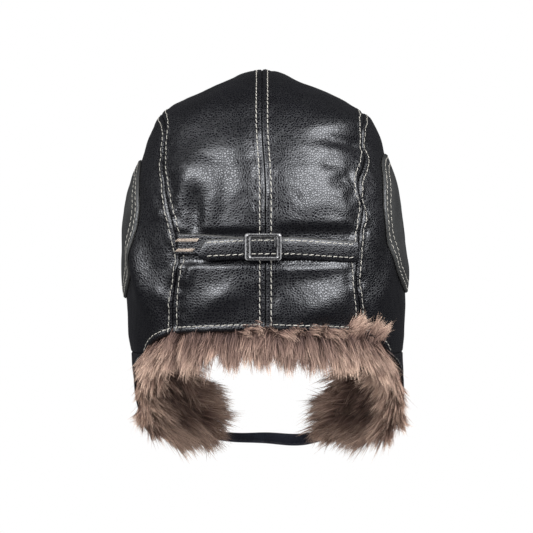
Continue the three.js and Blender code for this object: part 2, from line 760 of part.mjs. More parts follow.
// A strap's cross-section swept along its middle line.
function ribbon({ centre, normal, up, width, wall, steps, round = 0 }) {
  const widthAt = (share) => {
    const fromEnd = Math.min(share, 1) * steps;
    const tip = round > 0 ? Math.sqrt(1 - (1 - clamp(fromEnd / round, 0.12, 1)) ** 2) : 1;
    return width * tip;
  };
  const face = (offset) => (share, across) => {
    const lift = (across - 0.5) * widthAt(share);
    return centre(share).clone().addScaledVector(up(share), lift).addScaledVector(normal(share), offset);
  };
  return wallGeometry(face(wall), face(0), steps, 1);
}

// The back strap's line: on the leather in the channel, lifted by so much off it.
function backLine(x, lift) {
  const { width, back } = outline(strapLevel, x);
  const y = -back * (1 - (Math.abs(x) / width) ** roundness) ** (1 / roundness);
  return leatherPoint(new THREE.Vector3(x, y, strapLevel), lift);
}
const backNormal = (x) => {
  const flat = normalAt(backLine(x, 0));
  flat.z = 0;
  return flat.normalize();
};
const upright = () => new THREE.Vector3(0, 0, 1);
const lowerLayer = touchGap + 0.3;
const upperLayer = lowerLayer + backStrapWall + touchGap;
const strapEndGap = 1;

// The short strap comes from the left seam and holds the buckle's middle bar.
function backStrapLeft() {
  const along = alongAt(-crownBackDepth, strapLevel);
  const from = -seamHalf(-1, along) + strapEndGap;
  const to = buckleCentre - buckleBar / 2 - touchGap;
  const x = (share) => mix(from, to, share);
  const rise = (share) => underStrapRise * (1 - smoothStep(0.1, 0.85, share));
  return ribbon({
    centre: (share) => backLine(x(share), lowerLayer).setZ(strapLevel + rise(share)),
    normal: (share) => backNormal(x(share)),
    up: upright,
    width: backStrapWidth,
    wall: backStrapWall,
    steps: 12,
  });
}

// The long strap comes from the right seam, goes over the buckle's middle bar and ends as a loose tail.
function backStrapRight() {
  const along = alongAt(-crownBackDepth, strapLevel);
  const seam = seamHalf(1, along) - strapEndGap;
  const x = (share) => mix(-tailReach, seam, share);
  const lift = (at) => mix(upperLayer, lowerLayer, smoothStep(buckleWidth / 2, buckleWidth, at - buckleCentre));
  const sag = (at) => tailSag * smoothStep(0, tailReach, -at) + strapSag * smoothStep(buckleWidth / 2, seam, at);
  return ribbon({
    centre: (share) => backLine(x(share), lift(x(share))).setZ(strapLevel - sag(x(share))),
    normal: (share) => backNormal(x(share)),
    up: upright,
    width: backStrapWidth,
    wall: backStrapWall,
    steps: 26,
    round: 2.5,
  });
}

function boxAt(centre, size) {
  const box = new THREE.BoxGeometry(...size);
  box.translate(...centre);
  box.deleteAttribute("normal");
  box.deleteAttribute("uv");
  return toManifold(mergeVertices(box));
}

// A flat frame over the strap, with two posts down to the bar that the short strap holds.
function backBuckle() {
  const bed = backLine(buckleCentre, 0);
  const frameRise = upperLayer + backStrapWall + touchGap;
  const at = (x, rise, z) => [bed.x + x, bed.y - rise, strapLevel + z];
  const [halfWidth, halfHeight] = [buckleWidth / 2, buckleHeight / 2];
  const frameMiddle = frameRise + buckleThickness / 2;
  let buckle = boxAt(at(0, frameMiddle, 0), [buckleWidth, buckleThickness, buckleHeight]);
  const window = [buckleWidth - 2 * buckleBar, 2 * buckleThickness, buckleHeight - 2 * buckleBar];
  buckle = buckle.subtract(boxAt(at(0, frameMiddle, 0), window));
  const barRise = lowerLayer + buckleTongue / 2;
  const postHeight = frameRise + 0.5 * buckleThickness - lowerLayer;
  for (const end of [-1, 1]) {
    const z = end * (halfHeight - buckleBar / 2);
    const post = [buckleBar, postHeight, buckleBar];
    buckle = buckle.add(boxAt(at(0, lowerLayer + postHeight / 2, z), post));
    const lip = [buckleBar, buckleThickness * 1.25, buckleHeight];
    buckle = buckle.add(boxAt(at(end * (halfWidth - buckleBar / 2), frameRise + lip[1] / 2, 0), lip));
  }
  return fromManifold(buckle.add(boxAt(at(0, barRise, 0), [buckleBar, buckleTongue, buckleHeight])));
}

// The chin strap lies on the outside of both flaps and crosses under the chin.
const chinTable = [
  { angle: 112, level: 0.84 },
  { angle: 122, level: 0.865 },
  { angle: 131, level: 0.895 },
  { angle: 139, level: 0.93 },
];
const chinLevel = topLevel - chinStrapDrop;
const chinLift = 4.5 * touchGap;
const chinPoints = (side, lift) =>
  chinTable.map((row) => {
    const level = mix(flapSeamLevel, flapTipLevel, row.level);
    return leatherPoint(roundPoint(side, row.angle, level), lift);
  });
const chinCurve = new THREE.CatmullRomCurve3([
  ...chinPoints(-1, chinLift),
  new THREE.Vector3(-0.28 * crownHalfWidth, 0.97 * chinStrapReach, chinLevel + 2),
  new THREE.Vector3(0, chinStrapReach, chinLevel),
  new THREE.Vector3(0.28 * crownHalfWidth, 0.97 * chinStrapReach, chinLevel + 1),
  ...chinPoints(1, chinLift).reverse(),
]);

function chinFrame(share) {
  const point = chinCurve.getPointAt(share);
  const along = chinCurve.getTangentAt(share);
  const free = 1 - smoothStep(0.26, 0.48, Math.abs(point.x) / crownHalfWidth);
  const tilt = radians(mix(48, 22, smoothStep(-0.2, 0.2, point.x / crownHalfWidth)));
  const loose = new THREE.Vector3(0, Math.cos(tilt), -Math.sin(tilt));
  const seated = normalAt(project(point));
  const normal = seated.lerp(loose, free);
  normal.addScaledVector(along, -normal.dot(along)).normalize();
  const up = normal.clone().cross(along).normalize();
  return { normal, up, point };
}

function chinStrap(clearance = 0) {
  return ribbon({
    centre: (share) =>
      chinCurve.getPointAt(share).addScaledVector(chinFrame(share).normal, -clearance),
    normal: (share) => chinFrame(share).normal,
    up: (share) => chinFrame(share).up,
    width: chinStrapWidth + 2 * clearance,
    wall: chinStrapWall + 2 * clearance,
    steps: 34,
  });
}

// One plain domed stud fastens the strap's right end.
function chinSnap() {
  const share = 0.93;
  const { normal, point } = chinFrame(share);
  const rise = chinStrapWall + touchGap;
  const profile = [
    new THREE.Vector2(0, 0),
    new THREE.Vector2(snapRadius, 0),
    new THREE.Vector2(snapRadius, snapHeight * 0.35),
    new THREE.Vector2(snapRadius * 0.8, snapHeight * 0.8),
    new THREE.Vector2(0, snapHeight),
  ];
  const cap = new THREE.LatheGeometry(profile, 16);
  cap.applyQuaternion(new THREE.Quaternion().setFromUnitVectors(new THREE.Vector3(0, 1, 0), normal));
  cap.translate(...point.clone().addScaledVector(normal, rise).toArray());
  cap.deleteAttribute("normal");
  cap.deleteAttribute("uv");
  return cap;
}

// What the fur may not reach into: the leather and everything outside it.
const outsideReach = 30;
function outsideOfFlap(side) {
  const face = (offset) => (across, down) =>
    leatherPoint(flapBase(side, across, mix(-0.1, 1.015, rowShare(down)), 1), offset);
  return toManifold(wallGeometry(face(outsideReach), face(-furInset - 0.5), 14, 8));
}

const keepOut = [toManifold(chinStrap(touchGap))];
for (const [side] of sideNames) {
  keepOut.push(toManifold(crownPanel(side, outsideReach, -furInset - 0.2, -seamGap, 0.005)));
  keepOut.push(toManifold(sidePanel(side, outsideReach, -furInset - 0.2, 0.006)));
  keepOut.push(outsideOfFlap(side));
}
for (const [side, name] of sideNames) {
  addMesh("crown_panel_" + name, crownPanel(side), blackLeather);
  addMesh("side_panel_" + name, sidePanel(side), blackLeather);
  addMesh("ear_patch_" + name, earPatch(side), blackLeather);
  addMesh("ear_flap_" + name, earFlap(side), blackLeather);
  addMesh("flap_fur_" + name, flapFur(side), brownFur);
}
addMesh("nape_fur", napeFur(), brownFur);
addMesh("face_fur", faceFur(), brownFur);
addMesh("back_strap_left", backStrapLeft(), blackLeather);
addMesh("back_strap_right", backStrapRight(), blackLeather);
addMesh("back_buckle", backBuckle(), gunmetal);
addMesh("chin_strap", chinStrap(), blackLeather);
addMesh("chin_snap", chinSnap(), gunmetal);

export default hat;
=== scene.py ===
import math

import bpy
import numpy as np
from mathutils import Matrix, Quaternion, Vector


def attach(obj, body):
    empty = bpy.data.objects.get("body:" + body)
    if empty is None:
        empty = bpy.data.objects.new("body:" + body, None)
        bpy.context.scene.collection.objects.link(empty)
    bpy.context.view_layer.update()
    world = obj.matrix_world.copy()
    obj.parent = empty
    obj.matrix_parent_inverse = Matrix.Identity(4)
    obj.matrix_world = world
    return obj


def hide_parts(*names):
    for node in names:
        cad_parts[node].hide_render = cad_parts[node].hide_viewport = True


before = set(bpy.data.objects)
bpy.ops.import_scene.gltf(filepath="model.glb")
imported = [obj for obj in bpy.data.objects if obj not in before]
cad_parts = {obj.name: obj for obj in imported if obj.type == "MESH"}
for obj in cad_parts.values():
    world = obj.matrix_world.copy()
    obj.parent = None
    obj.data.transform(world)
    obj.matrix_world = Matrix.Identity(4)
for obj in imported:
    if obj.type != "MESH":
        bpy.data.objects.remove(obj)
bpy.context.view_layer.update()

# Sizes
leather_wall = 2
touch_gap = 0.3
crown_half_width = 100.5
crown_back_depth = 110
crown_front_depth = 116
crown_height = 188
brow_drop = 104
roundness = 2.2
hem_rise = 3
brow_dip = 8
seam_half_span = 66
seam_groove = 2.2
seam_groove_width = 8
fold_depth = 4
lean_at_top = -1.8
lean_below = 0.7
flap_seam_drop = 202
flap_length = 63
patch_radius = 49.5
patch_drop = 112
patch_back = 11
patch_twist = 3
patch_tilt = 2
patch_wall = 1.8
back_strap_drop = 128.5
back_strap_width = 14.4
back_strap_wall = 1.6
strap_channel = 3
under_strap_rise = 2.4
tail_reach = 45
tail_sag = 1.5
strap_sag = 2.5
buckle_centre = -1.5
buckle_width = 24.5
buckle_height = 17.8
buckle_lift = 0.6
buckle_bar = 2.2
buckle_left_bar = 3.6
buckle_right_bar = 3.0
buckle_rail = 2.05
chin_strap_width = 9.4
chin_strap_wall = 2
chin_strap_reach = 92
chin_strap_drop = 270
chin_stitch_row = 3.5
stitch_pitch = 4.4
stitch_length = 3.75
stitch_width = 0.62
seam_row = 3.9
hem_row = 4.8
patch_rows = (2.6, 7.4)
hem_bow = -1.5
face_bow = 7
strap_crown = 0.8
strap_end_gap = 0.4
fur_inset = leather_wall + touch_gap
coat_inset = fur_inset + 0.8
flap_overhang = 5.0

top_level = leather_wall
hem_level = top_level - crown_height
brow_level = top_level - brow_drop
flap_seam_level = top_level - flap_seam_drop
flap_tip_level = flap_seam_level - flap_length
strap_level = top_level - back_strap_drop
chin_level = top_level - chin_strap_drop

# Level sections: share of the crown's height; width shares left and right; depth shares back and front.
crown_sections = [
    (0, 0, 0, 0, 0),
    (0.01, 0.13, 0.13, 0.18, 0.18),
    (0.038, 0.238, 0.238, 0.355, 0.36),
    (0.077, 0.405, 0.405, 0.5, 0.51),
    (0.115, 0.565, 0.565, 0.6, 0.62),
    (0.153, 0.683, 0.683, 0.678, 0.7),
    (0.192, 0.75, 0.782, 0.74, 0.77),
    (0.268, 0.824, 0.848, 0.836, 0.87),
    (0.345, 0.876, 0.872, 0.905, 0.935),
    (0.421, 0.935, 0.912, 0.955, 0.975),
    (0.498, 0.974, 0.943, 0.982, 0.995),
    (0.65, 0.998, 0.979, 1, 1),
    (0.804, 1.004, 0.994, 0.99, 0.985),
    (1, 0.975, 0.992, 0.955, 0.965),
]
jaw_sections = [
    (0.18, 0.955, 0.982, 0.93, 0.95),
    (0.5, 0.935, 0.99, 0.88, 0.9),
    (0.7, 0.91, 0.98, 0.84, 0.86),
    (0.85, 0.875, 0.945, 0.8, 0.81),
    (1, 0.825, 0.88, 0.77, 0.76),
    (1.15, 0.74, 0.76, 0.73, 0.71),
]

# Side seams: share of the way from hem to brow, and distance from the ridge left and right.
side_seams = [
    (0, 0.98, 0.992),
    (0.035, 0.978, 0.98),
    (0.08, 0.962, 0.949),
    (0.105, 0.93, 0.954),
    (0.13, 0.916, 0.964),
    (0.17, 0.936, 0.979),
    (0.225, 0.985, 1.017),
    (0.25, 1.014, 1.034),
    (0.28, 1.044, 0.992),
    (0.3, 1.059, 0.99),
    (0.355, 1.072, 1.05),
    (0.404, 1.065, 1.084),
    (0.45, 1.027, 1.054),
    (0.49, 1.05, 1.077),
    (0.55, 1.085, 1.08),
    (0.8, 1.02, 1.02),
    (1, 0.9, 0.9),
]

# Dents and puffs of the back: across, drop, long, wide, turn, depth.
back_folds = [
    (-0.486, 0.565, 0.22, 0.066, 88, -1.1),
    (-0.495, 0.42, 0.12, 0.13, 0, 0.95),
    (-0.4, 0.327, 0.42, 0.1, 19, 0.4),
    (-0.285, 0.512, 0.2, 0.05, 80, -0.22),
    (0.59, 0.222, 0.16, 0.055, 4, 0.45),
    (0.58, 0.295, 0.18, 0.045, -9, -0.75),
    (0.45, 0.375, 0.09, 0.05, 0, -0.36),
    (0.532, 0.434, 0.1, 0.05, 30, -0.5),
    (0.59, 0.49, 0.05, 0.035, 60, -0.3),
    (0.36, 0.9, 0.3, 0.11, 13, 0.85),
    (0.36, 0.79, 0.3, 0.06, 13, -0.3),
    (-0.33, 0.87, 0.2, 0.08, 25, 0.6),
    (-0.52, 0.78, 0.12, 0.035, 75, 0.5),
    (-0.6, 0.76, 0.1, 0.04, 55, 0.4),
]
# The same at the sides: side, forward, drop, long, wide, turn, depth.
side_folds = [
    (-1, -0.54, 0.76, 0.25, 0.1, 70, 1.6),
    (-1, -0.72, 0.56, 0.05, 0.04, 0, 0.35),
    (-1, -0.74, 0.86, 0.07, 0.05, 60, 0.4),
    (1, -0.6, 0.82, 0.25, 0.08, 60, 0.55),
    (1, -0.55, 0.66, 0.14, 0.06, 75, -0.4),
]

# Ear flap: drop, and angle of the rear and front edges round the head from the middle of the back.
flap_edges = [
    (0, 58, 122),
    (0.13, 70, 130),
    (0.3, 76, 137),
    (0.5, 80, 143),
    (0.7, 86, 147),
    (0.86, 93, 148),
    (0.95, 99, 145),
    (1, 108, 140),
]


# Shape helpers


def mix(a, b, share):
    return a + (b - a) * share


def smooth(low, high, value):
    t = np.clip((value - low) / (high - low), 0, 1)
    return t * t * (3 - 2 * t)


def monotone(xs, ys):
    """A smooth curve through table rows that never overshoots them."""
    xs = np.array(xs, float)
    ys = np.array(ys, float)
    slope = np.diff(ys) / np.diff(xs)
    tangent = np.zeros(len(xs))
    tangent[0] = slope[0]
    tangent[-1] = slope[-1]
    for i in range(1, len(xs) - 1):
        a, b = slope[i - 1], slope[i]
        tangent[i] = 0 if a * b <= 0 else 2 * a * b / (a + b)

    def curve(x):
        at = np.clip(x, xs[0], xs[-1])
        i = np.clip(np.searchsorted(xs, at, side="left") - 1, 0, len(xs) - 2)
        span = xs[i + 1] - xs[i]
        t = (at - xs[i]) / span
        t2 = t * t
        t3 = t2 * t
        first = (2 * t3 - 3 * t2 + 1) * ys[i] + (t3 - 2 * t2 + t) * span * tangent[i]
        return first + (3 * t2 - 2 * t3) * ys[i + 1] + (t3 - t2) * span * tangent[i + 1]

    return curve


def column(rows, number):
    return [row[number] for row in rows]


jaw_drop = hem_level - flap_tip_level
section_rows = crown_sections + [
    (1 + row[0] * jaw_drop / crown_height, *row[1:]) for row in jaw_sections
]
section_roots = [math.sqrt(row[0]) for row in section_rows]
left_share = monotone(section_roots, column(section_rows, 1))
right_share = monotone(section_roots, column(section_rows, 2))
back_share = monotone(section_roots, column(section_rows, 3))
front_share = monotone(section_roots, column(section_rows, 4))


def outline(level, side):
    root = np.sqrt(np.maximum(0, (top_level - level) / crown_height))
    width = crown_half_width * np.where(side < 0, left_share(root), right_share(root))
    return width, crown_back_depth * back_share(root), crown_front_depth * front_share(root)


def reach(x, y, z):
    """Under 1 inside the crown's smooth form, 1 on it and over 1 outside."""
    width, back, front = outline(z, x)
    depth = np.where(y < 0, back, front)
    with np.errstate(divide="ignore", invalid="ignore"):
        far = (np.abs(x) / width) ** roundness + (np.abs(y) / depth) ** roundness
    return np.where(z >= top_level, 1e9, far)


def unit(v):
    return v / np.maximum(np.linalg.norm(v, axis=-1, keepdims=True), 1e-12)


def normal_at(p):
    step = 0.5
    x, y = p[..., 0], p[..., 1]
    z = np.minimum(p[..., 2], top_level - 2 * step)
    n = np.stack(
        [
            reach(x + step, y, z) - reach(x - step, y, z),
            reach(x, y + step, z) - reach(x, y - step, z),
            reach(x, y, z + step) - reach(x, y, z - step),
        ],
        axis=-1,
    )
    return unit(n)


def oval(fold, across, up, across_unit):
    long, wide, turn, depth = fold
    turn = math.radians(turn)
    along = across * math.cos(turn) + up * math.sin(turn)
    beside = up * math.cos(turn) - across * math.sin(turn)
    far = (along / (long * across_unit)) ** 2 + (beside / (wide * across_unit)) ** 2
    return depth * fold_depth * np.exp(-far)


left_seam = monotone(column(side_seams, 0), column(side_seams, 1))
right_seam = monotone(column(side_seams, 0), column(side_seams, 2))


def seam_half(side, along):
    return seam_half_span * np.where(side < 0, left_seam(along), right_seam(along))


dome_middle = top_level - 0.65 * crown_height
hem_angle = math.atan2(hem_level - dome_middle, crown_back_depth * 0.955)
brow_angle = math.pi - math.atan2(brow_level - dome_middle, crown_front_depth * 0.99)


def relief(p):
    """How far the leather stands out from, or sinks below, the smooth form."""
    x, y, z = p[..., 0], p[..., 1], p[..., 2]
    side = np.where(x < 0, -1, 1)
    along = (np.arctan2(z - dome_middle, -y) - hem_angle) / (brow_angle - hem_angle)
    seam_x = seam_half(side, np.clip(along, 0, 1))
    fade = 1 - smooth(top_level - 0.3 * crown_height, top_level - 0.15 * crown_height, z)
    ridge = np.exp(-((x / seam_groove_width) ** 2)) * fade
    seam = 0.7 * np.exp(-(((np.abs(x) - seam_x) / seam_groove_width) ** 2)) * fade
    total = -seam_groove * np.maximum(ridge, seam)
    behind = y < 0
    for across, drop, *fold in back_folds:
        up = z - top_level + drop * crown_height
        dent = oval(fold, x - across * crown_half_width, up, crown_half_width)
        total = total + np.where(behind, dent, 0)
    above = np.where(x < 0, 0.98, 1.3)
    below = np.where(x < 0, 0.92, 1.05)
    channel_end = back_strap_width * np.where(z > strap_level, above, below)
    near = 1 - smooth(back_strap_width * 0.62, channel_end, np.abs(z - strap_level))
    channel = near * (1 - smooth(seam_x * 0.9, seam_x * 1.12, np.abs(x))) * behind
    total = mix(total, -strap_channel, channel)
    for which, forward, drop, *fold in side_folds:
        up = z - top_level + drop * crown_height
        dent = oval(fold, y - forward * crown_back_depth, up, crown_back_depth)
        total = total + np.where(side == which, dent, 0)
    return total


def lean(level):
    """How far the hat leans aside, more towards its top."""
    share = smooth(top_level - 0.48 * crown_height, top_level - 0.2 * crown_height, level)
    return mix(lean_below, lean_at_top, share)


def leather_point(base, offset=0.0):
    p = base + normal_at(base) * np.asarray(relief(base) + offset)[..., None]
    p[..., 0] += lean(base[..., 2])
    return p


def dome_point(x, angle):
    """The point of the smooth form at x whose direction from the dome's middle is angle."""
    low = np.zeros_like(x)
    high = np.full_like(x, 2.0 * crown_front_depth + crown_height)
    for _ in range(34):
        r = (low + high) / 2
        inside = reach(x, -r * np.cos(angle), dome_middle + r * np.sin(angle)) < 1
        low = np.where(inside, r, low)
        high = np.where(inside, high, r)
    return np.stack([x, -low * np.cos(angle), dome_middle + low * np.sin(angle)], axis=-1)


def round_point(side, degrees, level):
    """The point of the smooth form at a level and an angle round the head from the middle of the back."""
    width, back, front = outline(level, np.full_like(level, side))
    sine = np.sin(np.radians(degrees))
    cosine = np.cos(np.radians(degrees))
    depth = np.where(cosine > 0, back, front)
    x = side * width * np.sign(sine) * np.abs(sine) ** (2 / roundness)
    y = -np.sign(cosine) * depth * np.abs(cosine) ** (2 / roundness)
    return np.stack([x, y, level], axis=-1)


def side_point(side, y, z):
    """The point of the smooth form over a place of the side view."""
    width, back, front = outline(z, np.full_like(z, side))
    depth = np.where(y < 0, back, front)
    x = width * np.maximum(0, 1 - (np.abs(y) / depth) ** roundness) ** (1 / roundness)
    return np.stack([side * x, y, z], axis=-1)


def project(p):
    """The point of the smooth form at the same level and direction from the axis."""
    scale = reach(p[..., 0], p[..., 1], p[..., 2]) ** (-1 / roundness)
    return np.stack([p[..., 0] * scale, p[..., 1] * scale, p[..., 2]], axis=-1)


def edge_angle(x, front):
    """The angle of the back hem or of the brow edge at x."""
    if front:
        level = brow_level - brow_dip * (x / seam_half_span) ** 2
    else:
        level = hem_level + hem_rise * (1 - (x / seam_half_span) ** 2)
    width, back, ahead = outline(level, x)
    depth = ahead if front else back
    y = depth * np.maximum(0, 1 - (np.abs(x) / width) ** roundness) ** (1 / roundness)
    angle = np.arctan2(level - dome_middle, y)
    return np.pi - angle if front else angle


def seam_edge(side, along):
    along = np.asarray(along, float)
    x = side * seam_half(side, along)
    return dome_point(x, mix(edge_angle(x, False), edge_angle(x, True), along))


edge_drops = column(flap_edges, 0)
rear_edge = monotone(edge_drops, column(flap_edges, 1))
front_edge = monotone(edge_drops, column(flap_edges, 2))


def flap_base(side, across, down, margin=0.0):
    level = mix(flap_seam_level, flap_tip_level, down)
    drop = np.clip(down, 0, 1)
    spread = math.degrees(margin / crown_half_width)
    return round_point(side, mix(rear_edge(drop) - spread, front_edge(drop) + spread, across), level)


def bowed(start, end, bow, share):
    """Points in the side view on a line that bows from start to end."""
    share = np.asarray(share, float)
    ends = np.array([end[1] - start[1], end[2] - start[2]])
    along = ends / np.linalg.norm(ends)
    swell = bow * np.sin(np.pi * share)
    y = mix(start[1], end[1], share) - along[1] * swell
    z = mix(start[2], end[2], share) + along[0] * swell
    return np.stack([y, z], axis=-1)


def ripple(p, wavelength, seed, waves=7):
    """A soft random height, about -1 to 1, that repeats from run to run."""
    rng = np.random.RandomState(seed)
    total = np.zeros(p.shape[:-1])
    for _ in range(waves):
        direction = rng.normal(size=3)
        direction *= 2 * math.pi / (wavelength * rng.uniform(0.7, 1.5) * np.linalg.norm(direction))
        total += np.sin(p @ direction + rng.uniform(0, 2 * math.pi))
    return total / math.sqrt(waves)


# Mesh helpers


def put_in_scene(name, mesh):
    obj = bpy.data.objects.new(name, mesh)
    bpy.context.scene.collection.objects.link(obj)
    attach(obj, "root")
    return obj


def new_object(name, vertices, faces, materials):
    mesh = bpy.data.meshes.new(name)
    mesh.from_pydata((np.asarray(vertices) * 0.001).tolist(), [], faces)
    for look in materials:
        mesh.materials.append(look)
    mesh.update()
    return put_in_scene(name, mesh)


def shade_smooth(obj):
    obj.data.polygons.foreach_set("use_smooth", [True] * len(obj.data.polygons))
    obj.data.update()


def grid_faces(rows, columns, start=0, flip=False):
    i = np.arange(rows - 1)[:, None] * columns + np.arange(columns - 1)[None, :] + start
    i = i.ravel()
    quads = np.stack([i, i + columns, i + columns + 1, i + 1], axis=-1)
    return quads[:, ::-1] if flip else quads


def arc_lengths(p, axis):
    steps = np.linalg.norm(np.diff(p, axis=axis), axis=-1)
    zero = np.zeros_like(np.take(steps, [0], axis=axis))
    forward = np.concatenate([zero, np.cumsum(steps, axis=axis)], axis=axis)
    total = np.take(forward, [-1], axis=axis)
    return forward, total - forward


def grid_normals(p, towards):
    a = np.gradient(p, axis=0)
    b = np.gradient(p, axis=1)
    n = unit(np.cross(a, b))
    sign = np.sign(np.sum(n * towards, axis=-1, keepdims=True))
    return n * np.where(sign == 0, 1, sign)


def crowded(count, low=0.7, high=0.7):
    """Shares from 0 to 1 that crowd towards both ends."""
    u = np.linspace(0, 1, count)
    eased = (1 - np.cos(np.pi * u)) / 2
    return mix(u, eased, mix(low, high, u))


def shell_faces(rows, columns, flip=False):
    """The outside, the inside and the rim between two grids of points, one after the other."""
    half = rows * columns
    ring = np.concatenate(
        [
            np.arange(columns - 1),
            np.arange(rows - 1) * columns + columns - 1,
            np.arange(half - 1, half - columns, -1),
            np.arange(rows - 1, 0, -1) * columns,
        ]
    )
    after = np.roll(ring, -1)
    rim = np.stack([ring, after, after + half, ring + half], axis=-1)
    sides = [grid_faces(rows, columns, 0, flip), grid_faces(rows, columns, half, not flip)]
    return np.concatenate([*sides, rim[:, ::-1] if flip else rim])


def shell(name, outer, normals, wall, looks, side_flip):
    """A closed leather piece from its outer grid: outside, inside and rim. looks are outside and inside."""
    rows, columns = outer.shape[:2]
    inner = outer - normals * wall
    points = np.concatenate([outer.reshape(-1, 3), inner.reshape(-1, 3)])
    obj = new_object(name, points, shell_faces(rows, columns, side_flip).tolist(), looks)
    first = (rows - 1) * (columns - 1)
    index = np.zeros(len(obj.data.polygons), int)
    index[first : 2 * first] = 1
    obj.data.polygons.foreach_set("material_index", index)
    shade_smooth(obj)
    return obj


# Materials


def grey(value):
    return (value, value, value)


class Look:
    """A new material, with short ways to add nodes to it."""

    def __init__(self, name):
        self.material = bpy.data.materials.new(name)
        self.material.use_nodes = True
        self.nodes = self.material.node_tree.nodes
        self.link = self.material.node_tree.links.new
        self.inputs = self.nodes["Principled BSDF"].inputs

    def add(self, kind, **values):
        """A node with values for its attributes, or for inputs, named with _ for a space."""
        node = self.nodes.new(kind)
        for key, value in values.items():
            if hasattr(node, key):
                setattr(node, key, value)
            else:
                node.inputs[key.replace("_", " ")].default_value = value
        return node

    def texture(self, kind, **values):
        node = self.add(kind, **values)
        self.link(self.add("ShaderNodeTexCoord").outputs["Object"], node.inputs["Vector"])
        return node

    def ramp(self, source, stops):
        """The colour for a value. Each stop is a place and its colour."""
        node = self.add("ShaderNodeValToRGB")
        elements = node.color_ramp.elements
        while len(elements) < len(stops):
            elements.new(1)
        for element, (position, color) in zip(elements, stops):
            element.position = position
            element.color = (*color, 1)
        self.link(source, node.inputs["Fac"])
        return node

    def blend(self, kind, share, first, second):
        node = self.add("ShaderNodeMixRGB", blend_type=kind, Fac=share)
        self.link(first, node.inputs[1])
        self.link(second, node.inputs[2])
        return node.outputs[0]

    def paint(self, color):
        self.link(color, self.inputs["Base Color"])

    def bump(self, source, strength, distance):
        node = self.add("ShaderNodeBump", Strength=strength, Distance=distance)
        self.link(source, node.inputs["Height"])
        self.link(node.outputs["Normal"], self.inputs["Normal"])


def leather_material(name, dark, light, rough, cell, strength):
    """Pebbled leather: smooth cells with rough, narrow creases between them, over soft unevenness."""
    look = Look(name)
    cells = look.texture("ShaderNodeTexVoronoi", feature="DISTANCE_TO_EDGE", Scale=1000.0 / cell, Randomness=0.85)
    stops = [(0, grey(0)), (0.1, grey(0.5)), (0.2, grey(0.88)), (0.42, grey(1))]
    pebble = look.ramp(cells.outputs["Distance"], stops)
    pebble.color_ramp.interpolation = "B_SPLINE"
    fine = look.texture("ShaderNodeTexNoise", Scale=1500.0, Detail=3.0, Roughness=0.6)
    look.bump(look.blend("MIX", 0.05, pebble.outputs["Color"], fine.outputs["Fac"]), strength, 0.0001)
    broad = look.texture("ShaderNodeTexNoise", Scale=45.0, Detail=3.0)
    tint = look.ramp(broad.outputs["Fac"], [(0.35, dark), (0.7, light)])
    # The base colour is lighter on the pebbles' tops and darker in the creases between them: painted light and
    # shade.
    look.paint(look.blend("MULTIPLY", 0.6, tint.outputs["Color"], pebble.outputs["Color"]))
    gloss = look.add("ShaderNodeMapRange", interpolation_type="SMOOTHSTEP", From_Min=0.04, From_Max=0.18)
    gloss.inputs["To Min"].default_value = rough + 0.34
    gloss.inputs["To Max"].default_value = rough
    look.link(cells.outputs["Distance"], gloss.inputs["Value"])
    look.link(gloss.outputs["Result"], look.inputs["Roughness"])
    look.inputs["Specular IOR Level"].default_value = 0.55
    look.inputs["Specular Tint"].default_value = (0.93, 0.95, 1, 1)
    return look.material


def thread_material(name, dark, light):
    """Twisted thread with fine strands, worn in places."""
    look = Look(name)
    strands = look.texture("ShaderNodeTexWave", Scale=2600.0, Distortion=3.0, wave_profile="SIN")
    wear = look.texture("ShaderNodeTexNoise", Scale=180.0, Detail=2.0)
    both = look.blend("MIX", 0.5, strands.outputs["Fac"], wear.outputs["Fac"])
    look.paint(look.ramp(both, [(0.25, dark), (0.7, light)]).outputs["Color"])
    look.bump(strands.outputs["Fac"], 0.5, 0.0002)
    look.inputs["Roughness"].default_value = 0.7
    return look.material


def mottled(name, stops, texture):
    """A material whose colour follows one texture, and that texture's value."""
    look = Look(name)
    value = look.texture(**texture).outputs["Fac"]
    look.paint(look.ramp(value, stops).outputs["Color"])
    return look, value


def noise(scale, **values):
    return {"kind": "ShaderNodeTexNoise", "Scale": scale, "Detail": 4.0, **values}


def lining_material():
    weave = {"kind": "ShaderNodeTexWave", "Scale": 500.0, "Distortion": 1.5}
    look, value = mottled("lining", [(0.0, (0.012, 0.011, 0.011)), (1.0, (0.03, 0.028, 0.027))], weave)
    look.bump(value, 0.4, 0.0003)
    look.inputs["Roughness"].default_value = 0.85
    return look.material


def edge_material():
    """The cut edge of the leather, which shows its grey backing. On the back straps it also paints a highlight
    along their upper edge.
    """
    look, _ = mottled("cut_edge_and_highlight", [(0.3, (0.01, 0.01, 0.0095)), (0.7, (0.035, 0.0345, 0.033))], noise(900.0))
    look.inputs["Roughness"].default_value = 0.8
    return look.material


def metal_material():
    stops = [(0.3, (0.16, 0.16, 0.165)), (0.75, (0.42, 0.42, 0.43))]
    look, value = mottled("gunmetal", stops, noise(700.0, Roughness=0.65))
    gloss = look.add("ShaderNodeMapRange", To_Min=0.2, To_Max=0.34)
    look.link(value, gloss.inputs["Value"])
    look.link(gloss.outputs["Result"], look.inputs["Roughness"])
    look.inputs["Metallic"].default_value = 1.0
    return look.material


def edge_highlight_material():
    """The buckle's edges: a lighter, less metallic grey that paints a highlight along them."""
    stops = [(0.3, (0.08, 0.08, 0.085)), (0.7, (0.24, 0.24, 0.245))]
    look, _ = mottled("edge_highlight", stops, noise(600.0, Roughness=0.65))
    look.inputs["Roughness"].default_value = 0.5
    look.inputs["Metallic"].default_value = 0.4
    return look.material


